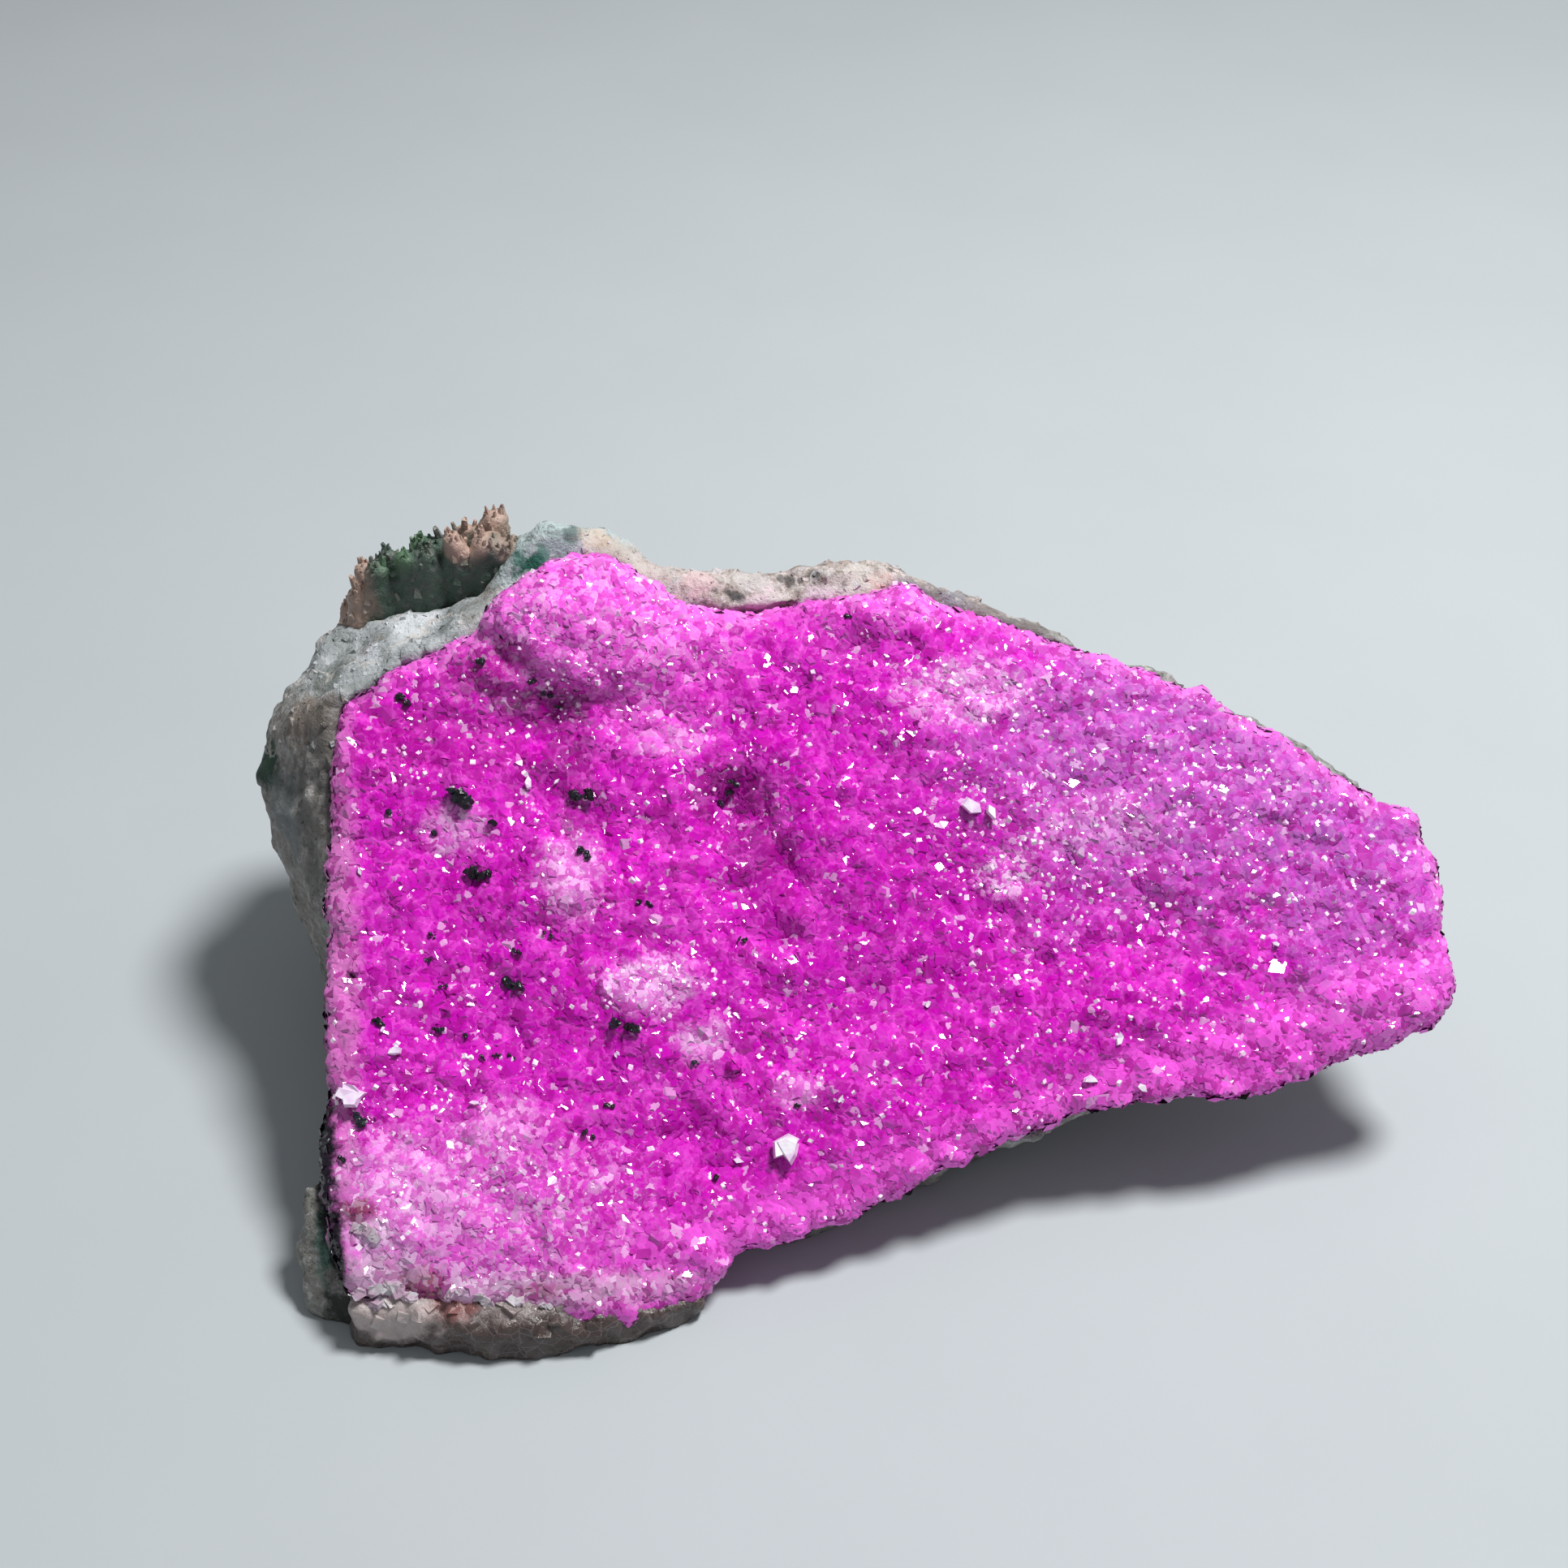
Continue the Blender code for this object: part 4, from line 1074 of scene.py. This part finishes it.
def rock_material(settings, name, grain, patches):
    """Broken host rock, coloured by where it is on the specimen. grain adds each grain's own tone."""
    graph = Graph(name)
    place = graph.place()
    fine = graph.noise(place, 1.6, 6.0, 0.7)
    speck = graph.noise(place, 4.5, 3.0, 0.6)
    ragged = graph.ragged(place, 0.6, 5.0, 0.65, 1.4)
    broken = graph.ragged(place, 1.5, 5.0, 0.7, 2.6)
    torn = graph.ragged(place, 0.5, 8.0, 0.75, 4.0)
    big = graph.step(graph.noise(place, 0.22, 5.0, 0.6), 0.35, 0.65)
    colour = graph.mix(big, settings.grey, settings.brown)
    # The light top facet's grey is partly painted light on the face that the lamp falls on.
    faces = (
        ((-23.0, 10.0, 21.5), (8.5, 7.0, 3.2), settings.light, 0.9, 0.25),
        ((-31.0, 6.0, 11.0), (4.5, 7.0, 9.0), settings.brown, 0.8, 0.3),
        ((-13.5, 13.5, 26.5), (7.0, 3.5, 3.4), srgb(184, 200, 200), 0.9, 0.3),
        ((-3.0, 13.4, 24.6), (9.0, 2.8, 2.4), settings.tan, 0.9, 0.25),
        ((7.0, 13.0, 24.0), (5.0, 2.6, 2.2), settings.tan, 0.6, 0.3),
        ((-27.0, -16.0, 2.0), (3.4, 6.0, 5.0), srgb(134, 132, 126), 0.8, 0.3),
    )
    for centre, reach, tint, strength, soft in faces:
        colour = graph.patch(colour, place, centre, reach, tint, strength, soft, ragged)
    shelf = graph.blob(place, (-1.0, 13.4, 24.8), (13.0, 3.0, 3.0), 0.2)
    mottle = graph.noise(place, 2.2, 5.0, 0.75, twist=0.5)
    whiter = graph.math('MULTIPLY', shelf, graph.step(mottle, 0.5, 0.6, 0.0, 0.75))
    colour = graph.mix(whiter, colour, srgb(230, 218, 218))
    darker = graph.math('MULTIPLY', shelf, graph.step(mottle, 0.43, 0.35, 0.0, 0.8))
    colour = graph.mix(darker, colour, srgb(92, 86, 82))
    colour = graph.wash(colour, srgb(206, 206, 208), fine, 0.5, 0.64, 0.55)
    colour = graph.wash(colour, srgb(58, 60, 56), fine, 0.47, 0.34, 0.75)
    for centre, radius, tint, strength in patches:
        colour = graph.patch(colour, place, centre, (radius,) * 3, tint, strength, 0.4, broken)
    behind = graph.step(graph.axis(place, 1), 4.0, 9.0)
    vein = graph.math('ABSOLUTE', graph.math('SUBTRACT', graph.noise(place, 0.11, 5.0, 0.6), 0.5))
    vein = graph.math('MULTIPLY', graph.step(vein, 0.012, 0.004), behind)
    colour = graph.mix(graph.math('MULTIPLY', vein, 0.65), colour, srgb(206, 200, 194))
    stain = graph.math('MULTIPLY', graph.step(graph.noise(place, 0.16, 6.0, 0.7), 0.56, 0.68), behind)
    colour = graph.mix(graph.math('MULTIPLY', stain, 0.55), colour, srgb(128, 98, 76))
    films = (
        ((-26.4, -15.6, 4.0), (0.45, 2.2, 1.9), settings.malachite, 0.7, broken),
        ((-25.9, -13.6, 5.6), (0.9, 3.6, 3.4), settings.black, 0.95, broken),
        ((-25.4, -17.6, 0.8), (0.9, 1.4, 1.6), settings.black, 0.9, broken),
        ((6.0, 17.5, 14.0), (8.0, 4.0, 4.0), settings.malachite, 0.6, torn),
        ((-16.0, 19.0, 8.0), (6.0, 4.0, 3.5), settings.black, 0.6, torn),
        ((20.0, 2.0, 6.0), (6.0, 5.0, 3.0), settings.brown, 0.7, torn),
    )
    for centre, reach, tint, strength, edge in films:
        colour = graph.patch(colour, place, centre, reach, tint, strength, 0.35, edge)
    colour = graph.wash(colour, settings.black, speck, 0.36, 0.28, 0.75)
    if grain:
        # Grains of high tone washed near-white: partly pale grains, partly painted glints.
        colour = graph.wash(colour, srgb(216, 218, 222), graph.attribute("tone"), 0.5, 1.0, 0.6)
        roughness = graph.step(graph.attribute("gloss"), 0.0, 1.0, 0.16, 0.55)
    else:
        roughness = graph.step(fine, 0.3, 0.7, 0.62, 0.9)
    return graph.shade({
        'Base Color': colour, 'Roughness': roughness, 'IOR': 1.5,
        'Normal': graph.bump(speck, 0.15, 0.6, graph.bump(fine, 0.4, 0.7)),
    })


class SPECIMEN_OT_rock(bpy.types.Operator):
    """Weather the host rock and set bright grains in it"""
    bl_idname = "specimen.rock"
    bl_label = "Host Rock"

    def execute(self, context):
        settings = context.scene.specimen_rock
        rock = copy_of_node("matrix_rock", "host_rock")
        remesh(rock, settings.voxel)
        swell(rock, 0.24)
        displace(rock, 'CLOUDS', 4.5, 0.9, noise_depth=2)
        displace(rock, 'VORONOI', 3.2, 0.8, distance_metric='DISTANCE')
        displace(rock, 'CLOUDS', 1.2, 0.5, noise_depth=3, noise_type='HARD_NOISE')
        mesh = rock.data
        co = coordinates(mesh) / MM
        back = np.clip(normals(mesh)[:, 1] * 1.5, 0.0, 1.0) * ramp(co[:, 2], 21.0, 17.0)
        share = np.maximum(back, 0.12 * ramp(co[:, 0], -22.0, -25.0))
        fracture(rock, 0.006, 0.24, 0.0005, 7, share)
        fracture(rock, 0.0024, 0.26, 0.0003, 8, np.maximum(share, 0.1))
        smooth(rock, 1)
        lower_rim(rock)
        keep_above_floor(rock)
        mesh = rock.data
        co = coordinates(mesh) / MM
        top = np.clip((normals(mesh)[:, 2] - 0.1) * 2.0, 0.0, 1.0)
        light = np.exp(-np.sum(((co - (-23.0, 10.0, 21.5)) / (8.0, 7.0, 3.5)) ** 2, axis=1))
        shelf = np.exp(-np.sum(((co - (-2.0, 13.4, 24.8)) / (12.0, 3.0, 3.0)) ** 2, axis=1))
        cover = np.clip(0.02 + light + 0.8 * shelf * top, 0.0, 1.0)
        set_attribute(mesh, "cover", cover * (co[:, 2] > 0.3))
        smooth_faces(rock)
        trees = [tree_of(rock)]
        patches = []
        for x, y, radius, tint, strength in ROCK_PATCHES:
            spot, _ = surface_at(trees, x, y)
            patches.append((spot / MM, radius, srgb(*tint), strength))
        finish_piece(rock, rock_material(settings, "host rock", False, patches), "host_rock",
                     "matrix_rock")

        bright = rock_material(settings, "rock grains", True, patches)
        home = variants("rock_grain", 6, 5, bright, crystal, stretch=(0.6, 1.1))
        grains = scatter("rock_grains", rock, home, settings.grain_spacing, (0.18, 0.46), 0.9, 0.3, 61,
                         "cover")
        finish_piece(grains, bright, "host_rock")
        return {'FINISHED'}


def seam_material(settings):
    """Colourless to tan calcite with red-brown inclusions."""
    graph = Graph("pale calcite")
    place = graph.place()
    ragged = graph.ragged(place, 0.9, 4.0, 0.65, 1.6)
    clouds = graph.step(graph.noise(place, 0.7, 5.0, 0.65), 0.35, 0.65)
    colour = graph.mix(clouds, settings.tan, srgb(70, 57, 55))
    inclusions = (
        ((-22.8, -18.6, 2.4), (2.5, 2.6, 1.5), settings.clear, 0.85),
        ((-16.0, -18.6, 3.0), (8.0, 1.4, 0.7), settings.clear, 0.35),
        ((-19.6, -18.4, 2.7), (1.4, 1.2, 0.8), settings.red, 0.8),
        ((-12.0, -19.6, 0.9), (3.6, 1.6, 0.8), srgb(78, 62, 58), 0.8),
    )
    for centre, reach, tint, strength in inclusions:
        colour = graph.patch(colour, place, centre, reach, tint, strength, 0.35, ragged)
    cracks = graph.cell_edges(place, 1.3)
    bumps = graph.bump(graph.noise(place, 1.9, 5.0, 0.6), 0.3, 0.6)
    return graph.shade({
        'Base Color': graph.wash(colour, srgb(156, 146, 146), cracks, 0.05, 0.0, 0.3),
        'Roughness': graph.step(graph.noise(place, 1.4, 3.0), 0.35, 0.65, 0.16, 0.5), 'IOR': 1.58,
        'Subsurface Weight': 0.35, 'Subsurface Radius': (1.0, 0.75, 0.7), 'Subsurface Scale': 1.2 * MM,
        'Normal': graph.bump(cracks, 0.2, 0.4, bumps),
    })


class SPECIMEN_OT_seam(bpy.types.Operator):
    """Shape the pale calcite seam under the druse's lower left edge and set flakes on it"""
    bl_idname = "specimen.seam"
    bl_label = "Pale Seam"

    def execute(self, context):
        settings = context.scene.specimen_seam
        seam = copy_of_node("pale_calcite_seam", "pale_seam")
        remesh(seam, settings.voxel)
        swell(seam, 0.26)
        displace(seam, 'VORONOI', 1.6, 0.5, distance_metric='DISTANCE')
        displace(seam, 'CLOUDS', 1.1, 0.3, noise_depth=2)
        keep_above_floor(seam)
        co = coordinates(seam.data) / MM
        set_attribute(seam.data, "cover", np.clip((co[:, 2] - 1.6) * 0.9, 0.0, 1.0))
        smooth_faces(seam)
        material = seam_material(settings)
        finish_piece(seam, material, "pale_calcite", "pale_calcite_seam")
        home = variants("seam_flake", 6, 9, material, crystal, stretch=(0.5, 0.9))
        flakes = scatter("seam_flakes", seam, home, SEAM_FLAKE_SPACING, (0.4, 1.0), 1.0, 0.3, 71, "cover")
        finish_piece(flakes, material, "pale_calcite")
        return {'FINISHED'}


def ridge_material(settings, name, needles):
    """Dark green-black crystal with brown-pink and mossy tips. needles adds each needle's own tone."""
    graph = Graph(name)
    place = graph.place()
    fine = graph.noise(place, 2.2, 4.0, 0.65)
    ragged = graph.ragged(place, 0.45, 4.0, 0.6, 2.0)
    colour = graph.mix(graph.step(fine, 0.35, 0.7), settings.body, srgb(84, 92, 86))
    # Tips partly painted light: brown-pink and mossy where the lamp falls on the ridge's top.
    tips = (
        ((-28.6, 14.5, 20.6), (1.5, 6.0, 2.6), settings.tip, 0.9),
        ((-26.9, 14.5, 23.4), (1.1, 6.0, 1.8), settings.tip, 0.85),
        ((-24.3, 14.5, 26.2), (1.0, 6.0, 1.4), settings.moss, 0.8),
        ((-22.6, 14.5, 27.2), (1.1, 6.0, 0.9), settings.tip, 0.4),
        ((-20.2, 14.5, 27.4), (1.5, 6.0, 1.7), settings.tip, 0.9),
        ((-18.2, 14.5, 26.6), (0.7, 6.0, 0.9), settings.tip, 0.5),
    )
    for centre, reach, tint, strength in tips:
        colour = graph.patch(colour, place, centre, reach, tint, strength, 0.45, ragged)
    if needles:
        colour = graph.wash(colour, srgb(150, 146, 140), graph.attribute("tone"), 0.7, 1.0, 0.5)
    return graph.shade({'Base Color': colour, 'Roughness': 0.42, 'Normal': graph.bump(fine, 0.3, 0.7)})


class SPECIMEN_OT_ridge(bpy.types.Operator):
    """Roughen the crystal ridge behind and stand small prisms on it"""
    bl_idname = "specimen.ridge"
    bl_label = "Crystal Ridge"

    def execute(self, context):
        settings = context.scene.specimen_ridge
        ridge = copy_of_node("rear_crystal_ridge", "crystal_ridge")
        remesh(ridge, settings.voxel)
        swell(ridge, 0.2)
        displace(ridge, 'CLOUDS', 1.3, 0.5, noise_depth=2)
        set_attribute(ridge.data, "cover", np.clip(normals(ridge.data)[:, 2] + 0.75, 0.0, 1.0))
        smooth_faces(ridge)
        finish_piece(ridge, ridge_material(settings, "dark ridge", False), "dark_ridge",
                     "rear_crystal_ridge")
        material = ridge_material(settings, "ridge needles", True)
        home = variants("ridge_needle", 6, 15, material, needle)
        needles = scatter("ridge_needles", ridge, home, NEEDLE_SPACING, (0.6, 1.25), 0.3, 0.25, 81, "cover",
                          upright=True)
        finish_piece(needles, material, "dark_ridge")
        return {'FINISHED'}


def cloudy_material(name, shades, cloud, passage, bumps, values):
    """Two shades in soft clouds and a fine roughness, for grains and flakes."""
    graph = Graph(name)
    place = graph.place()
    share = graph.step(graph.noise(place, *cloud), *passage)
    scale, detail, strength = bumps
    return graph.shade({
        'Base Color': graph.mix(share, *shades),
        'Normal': graph.bump(graph.noise(place, scale, detail), 0.1, strength),
        **values,
    })


def plant(name, home, spots, trees, rng, sink, sizes, counts, lean=0.5, level=0.0):
    """Clusters of a collection's shapes set on the surface at picture pixels, joined in one piece."""
    shapes = list(home.objects)
    copies = []
    for x, y, size in spots:
        place, normal = surface_at(trees, x, y)
        normal = normal.lerp(PLATE_NORMAL, level).normalized()
        across = (PLATE_AXES.col[0] - normal * PLATE_AXES.col[0].dot(normal)).normalized()
        turn = Matrix((across, normal.cross(across), normal)).transposed().to_4x4()
        lie = rng.uniform(-0.8, 0.2)
        for _ in range(counts[0] if size > LARGE_SPOT else counts[1]):
            source = rng.choice(shapes)
            obj = source.copy()
            obj.data = source.data.copy()
            bpy.context.scene.collection.objects.link(obj)
            share = rng.uniform(*sizes)
            run = rng.uniform(-0.5, 0.5)
            aside = Vector((run * math.cos(lie), run * math.sin(lie), 0.0))
            aside += Vector((rng.uniform(-0.12, 0.12), rng.uniform(-0.12, 0.12), 0.0))
            aside *= size * MM
            spin = Euler((rng.uniform(-lean, lean), rng.uniform(-lean, lean), rng.uniform(0, 6.3)))
            stretch = Matrix.Diagonal((rng.uniform(0.7, 1.15), rng.uniform(0.5, 0.9), 0.8, 1.0))
            height = (0.5 - sink) * size * MM * 0.4 + PLANT_LIFT
            local = Matrix.Translation(aside + Vector((0.0, 0.0, height)))
            local = local @ spin.to_matrix().to_4x4() @ stretch @ Matrix.Scale(size * share * MM, 4)
            obj.data.transform(Matrix.Translation(place) @ turn @ local)
            copies.append(obj)
    deselect()
    for obj in copies:
        obj.select_set(True)
    bpy.context.view_layer.objects.active = copies[0]
    bpy.ops.object.join()
    made = bpy.context.object
    made.name = name
    drop_collection(home)
    flat_faces(made)
    return made


class SPECIMEN_OT_grains(bpy.types.Operator):
    """Set the dark oxide grains, the white cleavage flakes and the clear cleavage blocks"""
    bl_idname = "specimen.grains"
    bl_label = "Grains And Flakes"

    def execute(self, context):
        bed = tree_of(bpy.data.objects["druse_bed"])
        seam = tree_of(bpy.data.objects["pale_seam"])
        rng = random.Random(3)
        oxide = cloudy_material("dark oxide", (srgb(16, 12, 20), srgb(34, 44, 54)), (0.9, 3.0), (0.4, 0.7),
                                (4.0, 3.0, 0.5), {'Roughness': 0.3})
        home = variants("lump", 4, 21, oxide, lump)
        dark = plant("dark_oxide_grains", home, DARK_GRAINS, [bed], rng, 0.15, (0.42, 0.72), (7, 4))
        finish_piece(dark, oxide, "host_rock")

        # White flakes: partly white calcite, partly painted reflections of cleavage faces.
        milky = cloudy_material("white cleavage", (srgb(250, 246, 252), srgb(236, 206, 240)), (1.2, 3.0),
                                (0.35, 0.65), (3.0, 2.0, 0.3), {'Roughness': 0.12, 'IOR': 1.65})
        home = variants("flake", 12, 33, milky, flake)
        white = plant("white_cleavage_flakes", home, WHITE_FLAKES, [bed], rng, 0.1, (0.9, 1.15), (2, 1),
                      lean=0.2, level=0.75)
        finish_piece(white, milky, "pale_calcite")

        glassy = cloudy_material("clear cleavage", (srgb(228, 222, 228), srgb(208, 174, 198)), (1.1, 4.0),
                                 (0.4, 0.6), (2.5, 2.0, 0.4),
                                 {'Roughness': 0.12, 'IOR': 1.6, 'Transmission Weight': 0.3})
        home = variants("block", 8, 43, glassy, crystal, stretch=(0.4, 0.8), corner_up=False, uneven=0.2)
        clear = plant("clear_cleavage_blocks", home, CLEAR_BLOCKS, [bed, seam], rng, 0.55, (0.35, 0.65),
                      (7, 5))
        finish_piece(clear, glassy, "pale_calcite")
        return {'FINISHED'}


class SPECIMEN_OT_stage(bpy.types.Operator):
    """Set the pale floor, the lamp overhead, the even light and the camera"""
    bl_idname = "specimen.stage"
    bl_label = "Stage"

    def execute(self, context):
        settings = context.scene.specimen_stage
        scene = context.scene
        deselect()
        bpy.ops.mesh.primitive_plane_add(size=FLOOR_SIDE, location=(0.0, 0.0, 0.0))
        floor = context.object
        floor.name = "floor"
        graph = Graph("pale floor")
        soft = graph.noise(graph.place(), 0.05, 3.0)
        darker = tuple(c * 0.93 for c in settings.floor)
        floor.data.materials.append(graph.shade({
            'Base Color': graph.mix(soft, settings.floor, darker), 'Roughness': 0.85,
        }))

        bpy.ops.object.light_add(type='AREA', location=KEY_PLACE)
        key = context.object
        key.name = "key"
        key.data.shape = 'DISK'
        key.data.size = settings.key_size
        key.data.energy = settings.key_power
        key.rotation_euler = (key.location - Vector(KEY_AIM)).to_track_quat('Z', 'Y').to_euler()

        world = bpy.data.worlds.new("even light")
        world.use_nodes = True
        backdrop = world.node_tree.nodes["Background"]
        backdrop.inputs["Color"].default_value = (0.92, 0.96, 1.0, 1.0)
        backdrop.inputs["Strength"].default_value = settings.fill
        scene.world = world

        bpy.ops.object.camera_add(location=CAMERA_PLACE, rotation=(CAMERA_PITCH, 0.0, 0.0))
        camera = context.object
        camera.name = "camera"
        camera.data.lens = CAMERA_LENS
        camera.data.sensor_width = SENSOR
        camera.data.clip_start = 0.005
        camera.data.clip_end = 20.0
        scene.camera = camera
        scene.view_settings.view_transform = 'Standard'
        return {'FINISHED'}


class SPECIMEN_PT_panel(bpy.types.Panel):
    """Lists the specimen's pieces and their settings"""
    bl_idname = "SPECIMEN_PT_panel"
    bl_label = "Specimen"
    bl_space_type = 'VIEW_3D'
    bl_region_type = 'UI'
    bl_category = "Specimen"

    def draw(self, context):
        for operator in OPERATORS:
            self.layout.operator(operator.bl_idname)
        for word in SETTINGS:
            box = self.layout.box()
            group = getattr(context.scene, word)
            for name in group.bl_rna.properties.keys():
                if name not in {"rna_type", "name"}:
                    box.prop(group, name)


OPERATORS = (
    SPECIMEN_OT_druse, SPECIMEN_OT_rock, SPECIMEN_OT_seam, SPECIMEN_OT_ridge, SPECIMEN_OT_grains,
    SPECIMEN_OT_stage,
)
SETTINGS = {
    "specimen_druse": DruseSettings,
    "specimen_rock": RockSettings,
    "specimen_seam": SeamSettings,
    "specimen_ridge": RidgeSettings,
    "specimen_stage": StageSettings,
}


def register():
    for word, group in SETTINGS.items():
        bpy.utils.register_class(group)
        setattr(bpy.types.Scene, word, bpy.props.PointerProperty(type=group))
    for cls in OPERATORS + (SPECIMEN_PT_panel,):
        bpy.utils.register_class(cls)


def unregister():
    for cls in reversed(OPERATORS + (SPECIMEN_PT_panel,)):
        bpy.utils.unregister_class(cls)
    for word, group in SETTINGS.items():
        delattr(bpy.types.Scene, word)
        bpy.utils.unregister_class(group)


def main():
    register()
    bpy.ops.specimen.druse()
    bpy.ops.specimen.rock()
    bpy.ops.specimen.seam()
    bpy.ops.specimen.ridge()
    bpy.ops.specimen.grains()
    bpy.ops.specimen.stage()


if __name__ == "__main__":
    main()
